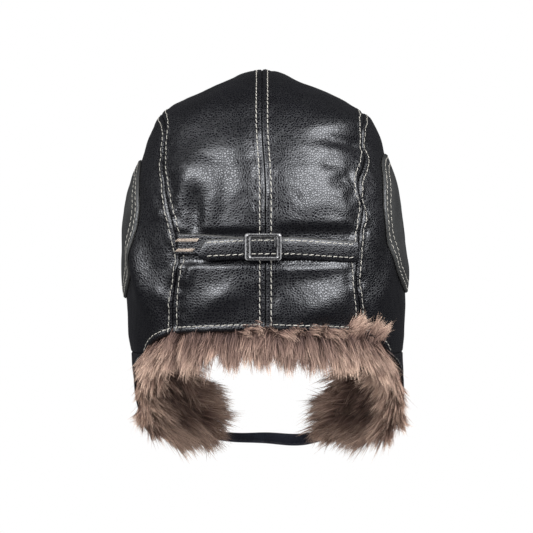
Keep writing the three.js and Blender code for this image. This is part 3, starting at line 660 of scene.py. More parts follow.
def fur_material():
    """Brown fur. On the map, across is the strand's tone and up runs from root to tip."""
    look = Look("faux_fur")
    place = look.add("ShaderNodeUVMap", uv_map="OFBake")
    parts = look.add("ShaderNodeSeparateXYZ")
    look.link(place.outputs["UV"], parts.inputs["Vector"])
    brown_stops = [
        (0.0, (0.021, 0.0125, 0.0115)),
        (0.35, (0.051, 0.031, 0.0275)),
        (0.7, (0.104, 0.064, 0.053)),
        (1.0, (0.2, 0.13, 0.105)),
    ]
    blond_stops = [
        (0.0, (0.034, 0.021, 0.017)),
        (0.3, (0.112, 0.07, 0.057)),
        (0.6, (0.275, 0.18, 0.142)),
        (1.0, (0.62, 0.46, 0.36)),
    ]
    tone = look.add("ShaderNodeMixRGB", blend_type="MIX")
    look.link(parts.outputs["X"], tone.inputs["Fac"])
    for number, stops in ((1, brown_stops), (2, blond_stops)):
        look.link(look.ramp(parts.outputs["Y"], stops).outputs["Color"], tone.inputs[number])
    look.paint(tone.outputs[0])
    look.inputs["Roughness"].default_value = 0.62
    look.inputs["Specular IOR Level"].default_value = 0.15
    return look.material


def undercoat_material():
    stops = [(0.3, (0.025, 0.015, 0.012)), (0.7, (0.08, 0.05, 0.038))]
    look, value = mottled("fur_undercoat", stops, noise(420.0))
    look.bump(value, 0.8, 0.001)
    look.inputs["Roughness"].default_value = 0.95
    return look.material


black = ((0.0012, 0.0012, 0.0018), (0.0024, 0.0024, 0.0034))
# The patches' black is lighter than the crown's: painted light, for the side light they catch.
painted_lighter_black = ((0.013, 0.0135, 0.013), (0.028, 0.029, 0.028))
blue_black = ((0.012, 0.013, 0.02), (0.03, 0.034, 0.05))
black_leather = leather_material("black_leather", *black, 0.17, 1.7, 1.0)
patch_leather = leather_material("patch_leather", *painted_lighter_black, 0.38, 1.7, 0.8)
strap_leather = leather_material("strap_leather", *blue_black, 0.4, 1.3, 0.5)
thread = thread_material("thread", (0.13, 0.122, 0.11), (0.4, 0.385, 0.345))
satin = thread_material("satin", (0.12, 0.092, 0.075), (0.36, 0.3, 0.25))
dark_thread = thread_material("dark_thread", (0.015, 0.016, 0.02), (0.05, 0.052, 0.06))
lining = lining_material()
cut_edge_and_highlight = edge_material()
gunmetal = metal_material()
edge_highlight = edge_highlight_material()
faux_fur = fur_material()
fur_undercoat = undercoat_material()


# Stitches


def stitch_row(p, normals, distance, inset):
    """The line on a grid at a distance from its first column."""
    line = []
    for i in range(p.shape[0]):
        at = np.interp(inset, distance[i], np.arange(p.shape[1]))
        j = min(int(at), p.shape[1] - 2)
        share = at - j
        line.append(np.concatenate([mix(grid[i, j], grid[i, j + 1], share) for grid in (p, normals)]))
    return np.array(line)


def on_line(line, lengths, at):
    return np.stack([np.interp(at, lengths, line[:, k]) for k in range(line.shape[1])], axis=-1)


def stitches(name, lines, look, length=stitch_length, pitch=stitch_pitch, width=stitch_width):
    """Threads that come up and go down again along each line of points and normals."""
    sides = 6
    shares = np.array([-0.5, -0.42, -0.2, 0.0, 0.2, 0.42, 0.5])
    rise = np.array([-0.45, 0.0, 0.28, 0.34, 0.28, 0.0, -0.45])
    thick = np.array([0.45, 0.85, 1.0, 1.0, 1.0, 0.85, 0.45])
    rng = np.random.RandomState(len(name) * 7 + len(lines))
    vertices = []
    faces = []
    for line in lines:
        steps = np.linalg.norm(np.diff(line[:, :3], axis=0), axis=1)
        lengths = np.concatenate([[0], np.cumsum(steps)])
        count = int((lengths[-1] - length) / pitch)
        if count < 1:
            continue
        slack = lengths[-1] - length - (count - 1) * pitch
        for k in range(count):
            centre = slack / 2 + length / 2 + k * pitch
            at = centre + shares * length
            on = on_line(line, lengths, at)
            normal = unit(on[:, 3:])
            along = unit(np.gradient(on[:, :3], axis=0))
            beside = unit(np.cross(normal, along))
            slant = rng.uniform(-0.12, 0.12) + 0.1
            aside = beside * (shares * slant * length)[:, None]
            middle = on[:, :3] + normal * (rise * width)[:, None] + aside
            base = len(vertices)
            turn = 2 * np.pi * np.arange(sides) / sides
            for ring in range(len(shares)):
                radius = width / 2 * thick[ring]
                circle = np.cos(turn)[:, None] * beside[ring] + 0.75 * np.sin(turn)[:, None] * normal[ring]
                vertices.extend(middle[ring] + radius * circle)
            for ring in range(len(shares) - 1):
                for s in range(sides):
                    a = base + ring * sides + s
                    b = base + ring * sides + (s + 1) % sides
                    faces.append([a, b, b + sides, a + sides])
            faces.append([base + s for s in range(sides)][::-1])
            last = base + (len(shares) - 1) * sides
            faces.append([last + s for s in range(sides)])
    obj = new_object(name, vertices, faces, [look])
    shade_smooth(obj)


# Leather panels


def lip(distance):
    """The folded allowance at a sewn edge falls into the seam, stands up and is drawn down by stitches."""
    band = smooth(0.1, 1.3, distance) * (1 - smooth(4.6, 6.4, distance))
    seam = np.exp(-((distance / 0.35) ** 2))
    row = np.exp(-(((distance - seam_row) / 0.75) ** 2))
    crease = np.exp(-(((distance - 1.7) / 0.4) ** 2))
    return 0.55 * band - 0.55 * seam - 0.35 * row - 0.16 * crease


def rolled(distance, row=hem_row):
    """A hem that is turned under: round at its edge and full between edge and stitches."""
    edge = np.sqrt(np.maximum(0, 1 - (1 - np.clip(distance / 1.4, 0, 1)) ** 2)) - 1
    band = 1 - smooth(row + 0.6, row + 2.4, distance)
    stitch = np.exp(-(((distance - row) / 0.8) ** 2))
    roll = np.sin(np.pi * np.clip(distance / row, 0, 1))
    return 1.3 * edge + 0.55 * band + 0.7 * roll - 0.5 * stitch


def pucker(p, distance, seed):
    """Small gathers that run away from a seam."""
    near = smooth(0.5, 3, distance) * (1 - smooth(5, 17, distance))
    return near * (0.32 * ripple(p, 9, seed) + 0.25 * ripple(p, 17, seed + 1))


def soft_creases(p):
    return 0.55 * ripple(p, 60, 3) + 0.22 * ripple(p, 24, 4) + 0.07 * ripple(p, 9, 5)


def finish_panel(base, extra):
    """The outer grid of a piece of leather, and its normals."""
    normals = normal_at(base)
    outer = base + normals * (relief(base) + extra)[..., None]
    outer[..., 0] += lean(base[..., 2])
    return outer, grid_normals(outer, normals)


def from_end(*grids):
    """Grids whose columns run the other way, for a stitch row at their last column."""
    return [grid[:, ::-1] for grid in grids]


def crosswise(*grids):
    """Grids with rows and columns swapped, for a stitch row along their first row."""
    return [np.swapaxes(grid, 0, 1) for grid in grids]


def crown_panel(side, name):
    rows, columns = 230, 52
    t = crowded(rows, 0.35, 0.35)[:, None] * np.ones((1, columns))
    s = crowded(columns)[None, :] * np.ones((rows, 1))
    x = side * seam_half(side, t) * s
    base = dome_point(x, mix(edge_angle(x, False), edge_angle(x, True), t))
    from_ridge, from_seam = arc_lengths(base, 1)
    from_hem, from_brow = arc_lengths(base, 0)
    extra = lip(from_ridge) + lip(from_seam) + rolled(from_hem) + rolled(from_brow)
    gathers = pucker(base, from_seam, 20 + side) + 0.6 * pucker(base, from_ridge, 30 + side)
    extra += gathers + soft_creases(base)
    outer, normals = finish_panel(base, extra)
    outer[:, 0, 0] = lean(base[:, 0, 2])
    obj = shell("leather_crown_" + name, outer, normals, leather_wall, [black_leather, lining], side < 0)
    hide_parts("crown_panel_" + name)
    lines = [
        stitch_row(outer, normals, from_ridge, seam_row),
        stitch_row(*from_end(outer, normals, from_seam), seam_row),
        stitch_row(*crosswise(outer, normals, from_hem), hem_row)[3:-3],
        stitch_row(*from_end(*crosswise(outer, normals, from_brow)), hem_row)[3:-3],
    ]
    stitches("stitches_crown_" + name, lines, thread)


def flap_corner(side, number):
    level = np.array(float(flap_seam_level))
    return round_point(side, flap_edges[0][number], level)


def side_panel(side, name):
    rows, columns = 180, 66
    t = crowded(rows, 0.3, 0.3)
    u = crowded(columns, 0.5, 0.5)
    rear, front = flap_corner(side, 1), flap_corner(side, 2)
    top = seam_edge(side, t)
    rear_hem = bowed(rear, seam_edge(side, 0.0), hem_bow, u)
    face_edge = bowed(front, seam_edge(side, 1.0), face_bow, u)
    lower = np.stack([mix(rear[1], front[1], t), np.full(rows, float(flap_seam_level))], axis=-1)
    upper = top[:, 1:]
    across = mix(rear_hem[None], face_edge[None], t[:, None, None])
    upward = mix(lower[:, None], upper[:, None], u[None, :, None])
    low_pair = mix(lower[:1], lower[-1:], t[:, None])
    high_pair = mix(upper[:1], upper[-1:], t[:, None])
    corners = mix(low_pair[:, None], high_pair[:, None], u[None, :, None])
    place = across + upward - corners
    base = side_point(side, place[..., 0], place[..., 1])
    base[:, -1] = top
    from_flap, from_seam = arc_lengths(base, 1)
    from_rear, from_front = arc_lengths(base, 0)
    extra = lip(from_seam) + rolled(from_rear) + rolled(from_front)
    extra += -0.9 * np.exp(-((from_flap / 0.9) ** 2))
    extra += pucker(base, from_seam, 40 + side) + soft_creases(base)
    outer, normals = finish_panel(base, extra)
    obj = shell("leather_side_" + name, outer, normals, leather_wall, [black_leather, lining], side > 0)
    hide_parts("side_panel_" + name)
    lines = [
        stitch_row(*from_end(outer, normals, from_seam), seam_row),
        stitch_row(*crosswise(outer, normals, from_rear), hem_row),
        stitch_row(*from_end(*crosswise(outer, normals, from_front)), hem_row),
    ]
    stitches("stitches_side_" + name, lines, thread)


def ear_patch(side, name):
    rings, sectors = 26, 140
    middle = top_level - patch_drop + side * patch_tilt
    centre = -patch_back - side * patch_twist
    radius = patch_radius * np.linspace(0, 1, rings) ** 0.6
    turn = 2 * np.pi * np.arange(sectors + 1) / sectors
    r = radius[None, :] * np.ones((sectors + 1, 1))
    wave = 1 + 0.006 * np.sin(3 * turn + side) + 0.004 * np.sin(7 * turn)
    y = centre + r * wave[:, None] * np.cos(turn)[:, None]
    z = middle + r * wave[:, None] * np.sin(turn)[:, None]
    base = side_point(side, y, z)
    from_edge = patch_radius - r
    edge = np.sqrt(np.maximum(0, 1 - (1 - np.clip(from_edge / 1.3, 0, 1)) ** 2)) - 1
    row = sum(np.exp(-(((from_edge - depth) / 0.7) ** 2)) for depth in patch_rows)
    puff = smooth(0.5, 9, from_edge)
    extra = touch_gap + patch_wall + 1.1 * edge - 0.35 * row + 0.5 * puff
    extra += soft_creases(base) + 0.35 * puff * ripple(base, 30, 50 + side)
    outer, normals = finish_panel(base, extra)
    inner_base = base + normal_at(base) * (relief(base) + touch_gap + soft_creases(base))[..., None]
    inner_base[..., 0] += lean(base[..., 2])
    rows, columns = outer.shape[:2]
    points = np.concatenate([outer.reshape(-1, 3), inner_base.reshape(-1, 3)])
    half = rows * columns
    faces = [grid_faces(rows, columns, 0, side < 0), grid_faces(rows, columns, half, side > 0)]
    rim = np.arange(rows - 1) * columns + columns - 1
    wall_faces = np.stack([rim, rim + columns, rim + columns + half, rim + half], axis=-1)
    faces.append(wall_faces[:, ::-1] if side < 0 else wall_faces)
    looks = [patch_leather, cut_edge_and_highlight]
    obj = new_object("leather_patch_" + name, points, np.concatenate(faces).tolist(), looks)
    index = np.zeros(len(obj.data.polygons), int)
    index[-len(rim) :] = 1
    obj.data.polygons.foreach_set("material_index", index)
    shade_smooth(obj)
    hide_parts("ear_patch_" + name)
    lines = [stitch_row(*from_end(outer, normals, from_edge), depth) for depth in patch_rows]
    stitches("stitches_patch_" + name, lines, thread)


def ear_flap(side, name):
    rows, columns = 90, 60
    down = np.sin(np.linspace(0, 1, rows) * np.pi / 2)[:, None] * np.ones((1, columns))
    across = crowded(columns, 0.5, 0.5)[None, :] * np.ones((rows, 1))
    base = flap_base(side, across, down)
    from_rear, from_front = arc_lengths(base, 1)
    from_top, from_tip = arc_lengths(base, 0)
    near_edge = np.minimum(np.minimum(from_rear, from_front), from_tip)
    extra = rolled(near_edge) - 0.9 * np.exp(-((from_top / 0.9) ** 2)) + soft_creases(base)
    outer, normals = finish_panel(base, extra)
    obj = shell("leather_flap_" + name, outer, normals, leather_wall, [black_leather, lining], side > 0)
    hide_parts("ear_flap_" + name)
    lines = [
        stitch_row(outer, normals, from_rear, hem_row)[2:-30],
        stitch_row(*from_end(outer, normals, from_front), hem_row)[2:-30],
    ]
    stitches("stitches_flap_" + name, lines, thread)


for hat_side, side_name in ((-1, "left"), (1, "right")):
    crown_panel(hat_side, side_name)
    side_panel(hat_side, side_name)
    ear_patch(hat_side, side_name)
    ear_flap(hat_side, side_name)


# Straps


def strap(name, centre, normal, up, width, wall, looks, node, crown=0.0):
    """A flat strap with rounded edges, swept along its middle line. A second look, where given, goes on its upper
    edge only, as a painted highlight.
    """
    corner = 0.55 * wall
    half_wall = wall / 2
    profile = []
    for a in np.linspace(-90, 90, 7):
        rise = math.sin(math.radians(a))
        out = math.cos(math.radians(a))
        profile.append((1, out * corner - corner, half_wall * rise))
    profile += [(s, 0, half_wall + crown * (1 - s * s)) for s in (0.75, 0.4, 0, -0.4, -0.75)]
    profile += [(-s, -out, rise) for s, out, rise in reversed(profile[:7])]
    profile += [(s, 0, -half_wall) for s in (-0.75, -0.4, 0, 0.4, 0.75)]
    count = len(profile)
    steps = len(centre)
    vertices = np.zeros((steps, count, 3))
    for k, (sign, inset, rise) in enumerate(profile):
        across = sign * width / 2 + inset * np.minimum(1, width / wall)
        vertices[:, k] = centre + up * across[:, None] + normal * (half_wall + rise)
    faces = []
    for i in range(steps - 1):
        for k in range(count):
            a = i * count + k
            b = i * count + (k + 1) % count
            faces.append([a, a + count, b + count, b])
    faces.append(list(range(count)))
    faces.append([(steps - 1) * count + k for k in reversed(range(count))])
    obj = new_object(name, vertices.reshape(-1, 3), faces, looks)
    if len(looks) > 1:
        upper_edge_highlight = [3 <= k < 6 for _ in range(steps - 1) for k in range(count)] + [False, False]
        obj.data.polygons.foreach_set("material_index", np.array(upper_edge_highlight, int))
    shade_smooth(obj)
    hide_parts(node)


def back_line(x, lift):
    width, back, _ = outline(np.full_like(x, strap_level), x)
    y = -back * (1 - (np.abs(x) / width) ** roundness) ** (1 / roundness)
    return leather_point(np.stack([x, y, np.full_like(x, strap_level)], axis=-1), lift)


def back_normal(x):
    n = normal_at(back_line(x, 0.0))
    n[..., 2] = 0
    return unit(n)


lower_layer = touch_gap + 0.3
upper_layer = lower_layer + back_strap_wall + touch_gap
strap_along = (math.atan2(strap_level - dome_middle, crown_back_depth) - hem_angle) / (brow_angle - hem_angle)
left_end = -float(seam_half(-1, strap_along)) + strap_end_gap
right_end = float(seam_half(1, strap_along)) - strap_end_gap


def with_normals(points, normals):
    return np.concatenate([points, normals], axis=1)


def over_level(x):
    """The long strap's middle line, which hangs a little at its tail and at its seam."""
    tail = tail_sag * smooth(0, tail_reach, -x)
    return strap_level - tail - strap_sag * smooth(buckle_width / 2, right_end, x)


def back_straps():
    steps = 90
    # The second look paints a highlight along the upper edge of both back straps.
    looks = [black_leather, cut_edge_and_highlight]
    upward = np.tile([0.0, 0.0, 1.0], (steps, 1))
    x = np.linspace(left_end, buckle_centre - buckle_bar / 2 - touch_gap, steps)
    share = np.linspace(0, 1, steps)
    normal = back_normal(x)
    centre = back_line(x, lower_layer)
    centre[:, 2] = strap_level + under_strap_rise * (1 - smooth(0.1, 0.85, share))
    width = np.full(steps, float(back_strap_width))
    strap(
        "strap_under", centre, normal, upward, width, back_strap_wall, looks, "back_strap_left"
    )

    x = np.linspace(-tail_reach, right_end, 2 * steps)
    upward = np.tile([0.0, 0.0, 1.0], (2 * steps, 1))
    normal = back_normal(x)
    past = smooth(buckle_width / 2, buckle_width, x - buckle_centre)
    centre = back_line(x, mix(upper_layer, lower_layer, past))
    centre[:, 2] = over_level(x)
    from_end = x + tail_reach
    tip = np.sqrt(1 - (1 - np.clip(from_end / 7.5, 0.03, 1)) ** 2)
    width = back_strap_width * tip
    centre[:, 2] -= 0.35 * (back_strap_width - width)
    strap(
        "strap_over", centre, normal, upward, width, back_strap_wall, looks, "back_strap_right",
        strap_crown,
    )
    face = centre + normal * (back_strap_wall + strap_crown / 2)
    inside = (from_end > 3.0) & (x < right_end - 0.5)
    upper_row = np.minimum(width / 2 - 1.7, 5.1)
    lower_row = np.minimum(width / 2 - 1.7, 4.0)
    rows = [
        with_normals(face + upward * upper_row[:, None], normal)[inside],
        with_normals(face - upward * lower_row[:, None], normal)[inside],
    ]
    stitches("stitches_strap_over", rows, thread)


back_straps()


def bar_tacks():
    """Two tan satin bars hold the strap at the left seam. Their threads lie slantwise, side by side."""
    lines = []
    for level, end in ((2.9, -tail_reach - 0.6), (-3.9, left_end + 11.5)):
        for middle in np.arange(left_end - 0.8, end, 1.05):
            x = middle + np.linspace(-1.2, 1.2, 6)
            lift = np.where(x > left_end, lower_layer + back_strap_wall, 0.9) + 0.2
            p = back_line(x, lift)
            p[:, 2] = strap_level + under_strap_rise + level + np.linspace(-1.15, 1.15, 6)
            lines.append(with_normals(p, back_normal(x)))
    stitches("bar_tacks", lines, satin, length=2.6, pitch=0.3, width=0.75)


bar_tacks()


def chin_frame(points):
    along = unit(np.gradient(points, axis=0))
    far = np.abs(points[:, 0]) / crown_half_width
    free = 1 - smooth(0.26, 0.48, far)
    tilt = np.radians(mix(48, 22, smooth(-0.2, 0.2, points[:, 0] / crown_half_width)))
    loose = np.stack([0 * tilt, np.cos(tilt), -np.sin(tilt)], axis=-1)
    normal = mix(normal_at(project(points)), loose, free[:, None])
    normal = unit(normal - along * np.sum(normal * along, axis=1, keepdims=True))
    return normal, unit(np.cross(normal, along))


def catmull(points, count):
    """A smooth curve through points."""
    points = np.array(points, float)
    padded = np.vstack([2 * points[0] - points[1], points, 2 * points[-1] - points[-2]])
    out = []
    for i in range(len(points) - 1):
        p0, p1, p2, p3 = padded[i : i + 4]
        d0, d1, d2 = (np.linalg.norm(b - a) ** 0.5 for a, b in ((p0, p1), (p1, p2), (p2, p3)))
        t0, t1, t2, t3 = 0, d0, d0 + d1, d0 + d1 + d2
        t = np.linspace(t1, t2, count, endpoint=False)[:, None]
        a1 = (t1 - t) / (t1 - t0) * p0 + (t - t0) / (t1 - t0) * p1
        a2 = (t2 - t) / (t2 - t1) * p1 + (t - t1) / (t2 - t1) * p2
        a3 = (t3 - t) / (t3 - t2) * p2 + (t - t2) / (t3 - t2) * p3
        b1 = (t2 - t) / (t2 - t0) * a1 + (t - t0) / (t2 - t0) * a2
        b2 = (t3 - t) / (t3 - t1) * a2 + (t - t1) / (t3 - t1) * a3
        out.append((t2 - t) / (t2 - t1) * b1 + (t - t1) / (t2 - t1) * b2)
    out.append(points[-1:])
    return np.vstack(out)


def chin_strap():
    table = ((112, 0.84), (122, 0.865), (131, 0.895), (139, 0.93))
    lift = 4.5 * touch_gap

    def ends(side):
        rows = []
        for angle, drop in table:
            level = np.array([mix(flap_seam_level, flap_tip_level, drop)])
            rows.append(leather_point(round_point(side, angle, level), lift)[0])
        return rows

    far = 0.28 * crown_half_width
    ahead = 0.97 * chin_strap_reach
    middle = [
        (-far, ahead, chin_level + 0.6),
        (0, chin_strap_reach, chin_level - 0.6),
        (far, ahead, chin_level - 1.8),
    ]
    points = catmull([*ends(-1), *middle, *reversed(ends(1))], 16)
    normal, up = chin_frame(points)
    width = np.full(len(points), float(chin_strap_width))
    looks = [strap_leather]
    strap("chin_band", points, normal, up, width, chin_strap_wall, looks, "chin_strap")
    face = points + normal * chin_strap_wall
    back = points - normal * 0.05
    rows = (-chin_stitch_row, chin_stitch_row)
    lines = [with_normals(face + up * at, normal) for at in rows]
    lines += [with_normals(back + up * at, -normal) for at in rows]
    stitches("stitches_chin", lines, dark_thread, length=2.6, pitch=3.4, width=0.6)
    lengths = np.concatenate([[0], np.cumsum(np.linalg.norm(np.diff(points, axis=0), axis=1))])
    at = int(np.searchsorted(lengths, 0.93 * lengths[-1]))
    return points[at], normal[at], up[at]


snap_place, snap_normal, snap_up = chin_strap()


def lathe(name, profile, centre, axis, looks, node):
    """A round piece turned from rows of radius and height."""
    sectors = 48
    side = unit(np.cross(axis, [0.3, 0.9, 0.2]))
    other = np.cross(axis, side)
    turn = 2 * np.pi * np.arange(sectors) / sectors
    vertices = []
    for radius, rise in profile:
        circle = np.cos(turn)[:, None] * side + np.sin(turn)[:, None] * other
        vertices.extend(centre + axis * rise + radius * circle)
    faces = []
    for ring in range(len(profile) - 1):
        for s in range(sectors):
            a = ring * sectors + s
            b = ring * sectors + (s + 1) % sectors
            faces.append([a, b, b + sectors, a + sectors])
    last = (len(profile) - 1) * sectors
    faces.append(list(reversed(range(sectors))))
    faces.append([last + s for s in range(sectors)])
    obj = new_object(name, vertices, faces, looks)
    shade_smooth(obj)
    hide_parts(node)


# The stud's cap: radius and height.
cap_profile = [(4.6, 0), (5.0, 0.25), (5.0, 0.7), (4.7, 1.1), (4.3, 1.05)]
cap_profile += [(4.0, 1.25), (3.4, 1.75), (2.4, 2.2), (1.2, 2.5), (0.3, 2.58)]
snap_base = snap_place + snap_normal * (chin_strap_wall + touch_gap)
lathe("snap_cap", cap_profile, snap_base, snap_normal, [gunmetal], "chin_snap")


# Buckle


def rounded_loop(half_width, half_height, radius, corner_steps=8):
    points = []
    for quarter, (sx, sz) in enumerate(((1, 1), (-1, 1), (-1, -1), (1, -1))):
        for k in range(corner_steps + 1):
            a = math.radians(90 * quarter + 90 * k / corner_steps)
            x = sx * (half_width - radius) + radius * math.cos(a)
            z = sz * (half_height - radius) + radius * math.sin(a)
            points.append((x, z))
    return np.array(points)


def buckle():
    bed = back_line(np.array([float(buckle_centre)]), 0.0)[0]
    rise = upper_layer + back_strap_wall + touch_gap
    centre_x, bed_y = bed[0], bed[1]
    half_width, half_height = buckle_width / 2, buckle_height / 2
    outer = rounded_loop(half_width, half_height, 1.6)
    inner = rounded_loop(
        half_width - (buckle_left_bar + buckle_right_bar) / 2, half_height - buckle_rail, 0.9
    )
    inner[:, 0] += (buckle_left_bar - buckle_right_bar) / 2
    layers = [(0, 0), (0, 1.25), (0.2, 1.85), (0.35, 1.98), (0.65, 1.98), (0.8, 1.85), (1, 1.2), (1, 0)]
    bow = 0.35 * (1 - (outer[:, 0] / half_width) ** 2)
    count = len(outer)
    vertices = []
    for share, height in layers:
        loop = mix(outer, inner, share)
        for k in range(count):
            x, z = loop[k]
            drop = bow[k] * (1 - share) * (-1 if z < 0 else 0)
            vertices.append((centre_x + x, bed_y - rise - height, strap_level + buckle_lift + z + drop))
    faces = []
    total = len(layers)
    for ring in range(total):
        after = (ring + 1) % total
        for k in range(count):
            nxt = (k + 1) % count
            faces.append([ring * count + k, after * count + k, after * count + nxt, ring * count + nxt])
    obj = new_object("buckle_frame", vertices, faces, [gunmetal, edge_highlight])
    # The outer wall and both bevels take the lighter look: a painted highlight along the frame's edges.
    highlighted_faces = [ring in (0, 1, 5) for ring in range(total) for _ in range(count)]
    obj.data.polygons.foreach_set("material_index", np.array(highlighted_faces, int))
    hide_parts("back_buckle")

    # The bar under the long strap, its two posts, and the lip of the right bar.
    def block(name, low, high, edge):
        corners = [(x, y, z) for x in (low[0], high[0]) for y in (low[1], high[1]) for z in (low[2], high[2])]
        sides = [[0, 1, 3, 2], [4, 6, 7, 5], [0, 4, 5, 1], [2, 3, 7, 6], [0, 2, 6, 4], [1, 5, 7, 3]]
        piece = new_object(name, corners, sides, [gunmetal])
        soften = piece.modifiers.new("Bevel", "BEVEL")
        soften.width = edge * 0.001
        soften.segments = 3

    half_bar = buckle_bar / 2
    inner_face = bed_y - lower_layer
    low_z, high_z = strap_level - half_height + 0.2, strap_level + half_height - 0.2
    low, high = (centre_x - half_bar, inner_face - 1.3, low_z), (centre_x + half_bar, inner_face, high_z)
    block("buckle_bar", low, high, 0.4)
    for label, start, end in (("low", low_z, low_z + 1.7), ("high", high_z - 1.7, high_z)):
        front = bed_y - rise - 0.4
        low, high = (centre_x - half_bar, front, start), (centre_x + half_bar, inner_face, end)
        block("buckle_post_" + label, low, high, 0.3)
    lip_x = centre_x + half_width - buckle_right_bar
    block(
        "buckle_lip",
        (lip_x - 1.9, bed_y - rise - 1.75, strap_level + 0.2),
        (lip_x + 0.6, bed_y - rise - 0.5, strap_level + half_height - buckle_rail + 0.2),
        0.45,
    )


buckle()


# Fur


def flow(p, wavelength, seed):
    """A soft random direction, so that neighbouring locks lie alike."""
    return np.stack([ripple(p, wavelength, seed + k) for k in range(3)], axis=-1)


def locks(root, out, direction, bend, length, tone):
    """A group of locks. Each value has one row a lock."""
    count = len(root)
    return {
        "root": root,
        "out": out,
        "direction": unit(direction),
        "bend": bend + np.zeros((count, 3)),
        "length": length + np.zeros(count),
        "tone": tone + np.zeros(count),
    }


def joined(*groups):
    return {key: np.concatenate([group[key] for group in groups]) for key in groups[0]}


def strand_mesh(name, points, wide, facing, tones, share):
    """Tapered ribbons along rows of points. On their map, across is the tone and up runs from root to tip."""
    count, cuts = points.shape[:2]
    along = unit(np.gradient(points, axis=1))
    beside = unit(np.cross(along, facing[:, None, :]))
    half = (wide[:, None] * strand_taper[None, :] / 2)[..., None]
    vertices = np.stack([points - beside * half, points + beside * half], axis=2).reshape(-1, 3)
    start = np.arange(count) * 2 * cuts
    faces = []
    for k in range(cuts - 1):
        a = start + 2 * k
        faces.append(np.stack([a, a + 1, a + 3, a + 2], axis=-1))
    faces = np.stack(faces, axis=1).reshape(-1, 4)
    mesh = bpy.data.meshes.new(name)
    mesh.vertices.add(len(vertices))
    mesh.vertices.foreach_set("co", (vertices * 0.001).astype(np.float32).ravel())
    mesh.loops.add(faces.size)
    mesh.loops.foreach_set("vertex_index", faces.astype(np.int32).ravel())
    mesh.polygons.add(len(faces))
    mesh.polygons.foreach_set("loop_start", (np.arange(len(faces)) * 4).astype(np.int32))
    mesh.update(calc_edges=True)
    v = 0.02 + 0.96 * strand_cuts[None, :] * share[:, None]
    u = 0.02 + 0.94 * tones[:, None] + 0 * v
    corners = np.stack([np.stack([u, u + 0.02], axis=2), np.stack([v, v], axis=2)], axis=-1).reshape(-1, 2)
    layer = mesh.uv_layers.new(name="OFBake")
    layer.data.foreach_set("uv", corners[faces.ravel()].astype(np.float32).ravel())
    mesh.polygons.foreach_set("use_smooth", np.ones(len(faces), bool))
    return mesh


strand_cuts = np.array([0.0, 0.22, 0.5, 0.78, 1.0])
strand_taper = np.array([0.8, 1.0, 0.85, 0.55, 0.08])


def grow(name, node, group, per_lock, spread, seed):
    """Grows the strands of locks. Each strand draws in towards its lock's middle line at the tip."""
    wide, clump = 0.5, 0.85
    rng = np.random.RandomState(seed)
    count = len(group["root"]) * per_lock
    lock = np.repeat(np.arange(len(group["root"])), per_lock)
    out = group["out"][lock]
    scatter = rng.normal(size=(count, 3))
    scatter -= out * np.sum(scatter * out, axis=1, keepdims=True)
    own = scatter * spread * 0.5
    bend = group["bend"] + rng.normal(size=group["bend"].shape) * 0.12
    spread_at_tip = rng.choice([0.03, 0.07, 0.2], size=(count, 1), p=[0.55, 0.35, 0.1])
    stray = rng.normal(size=(count, 3)) * spread_at_tip
    share = rng.uniform(0.6, 1.0, count)
    draw = np.clip(clump * rng.uniform(0.6, 1.1, count), 0, 1)[:, None]
    length = group["length"][lock][:, None]
    points = np.zeros((count, len(strand_cuts), 3))
    for k, cut in enumerate(strand_cuts):
        at = (cut * share)[:, None]
        middle = length * (group["direction"][lock] * at + bend[lock] * at * at)
        points[:, k] = group["root"][lock] + middle + own * (1 - draw * at**0.8) + stray * length * at**1.3
    tones = np.clip(group["tone"][lock] + rng.normal(size=count) * 0.2, 0, 1)
    facing = unit(out + 0.5 * rng.normal(size=(count, 3)))
    mesh = strand_mesh(name, points, wide * rng.uniform(0.7, 1.25, count), facing, tones, share)
    mesh.materials.append(faux_fur)
    obj = put_in_scene(name, mesh)
    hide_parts(node)


def undercoat(name, outer, inner, node):
    rows, columns = outer.shape[:2]
    points = np.concatenate([outer.reshape(-1, 3), inner.reshape(-1, 3)])
    obj = new_object(name, points, shell_faces(rows, columns).tolist(), [fur_undercoat])
    shade_smooth(obj)
    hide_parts(node)


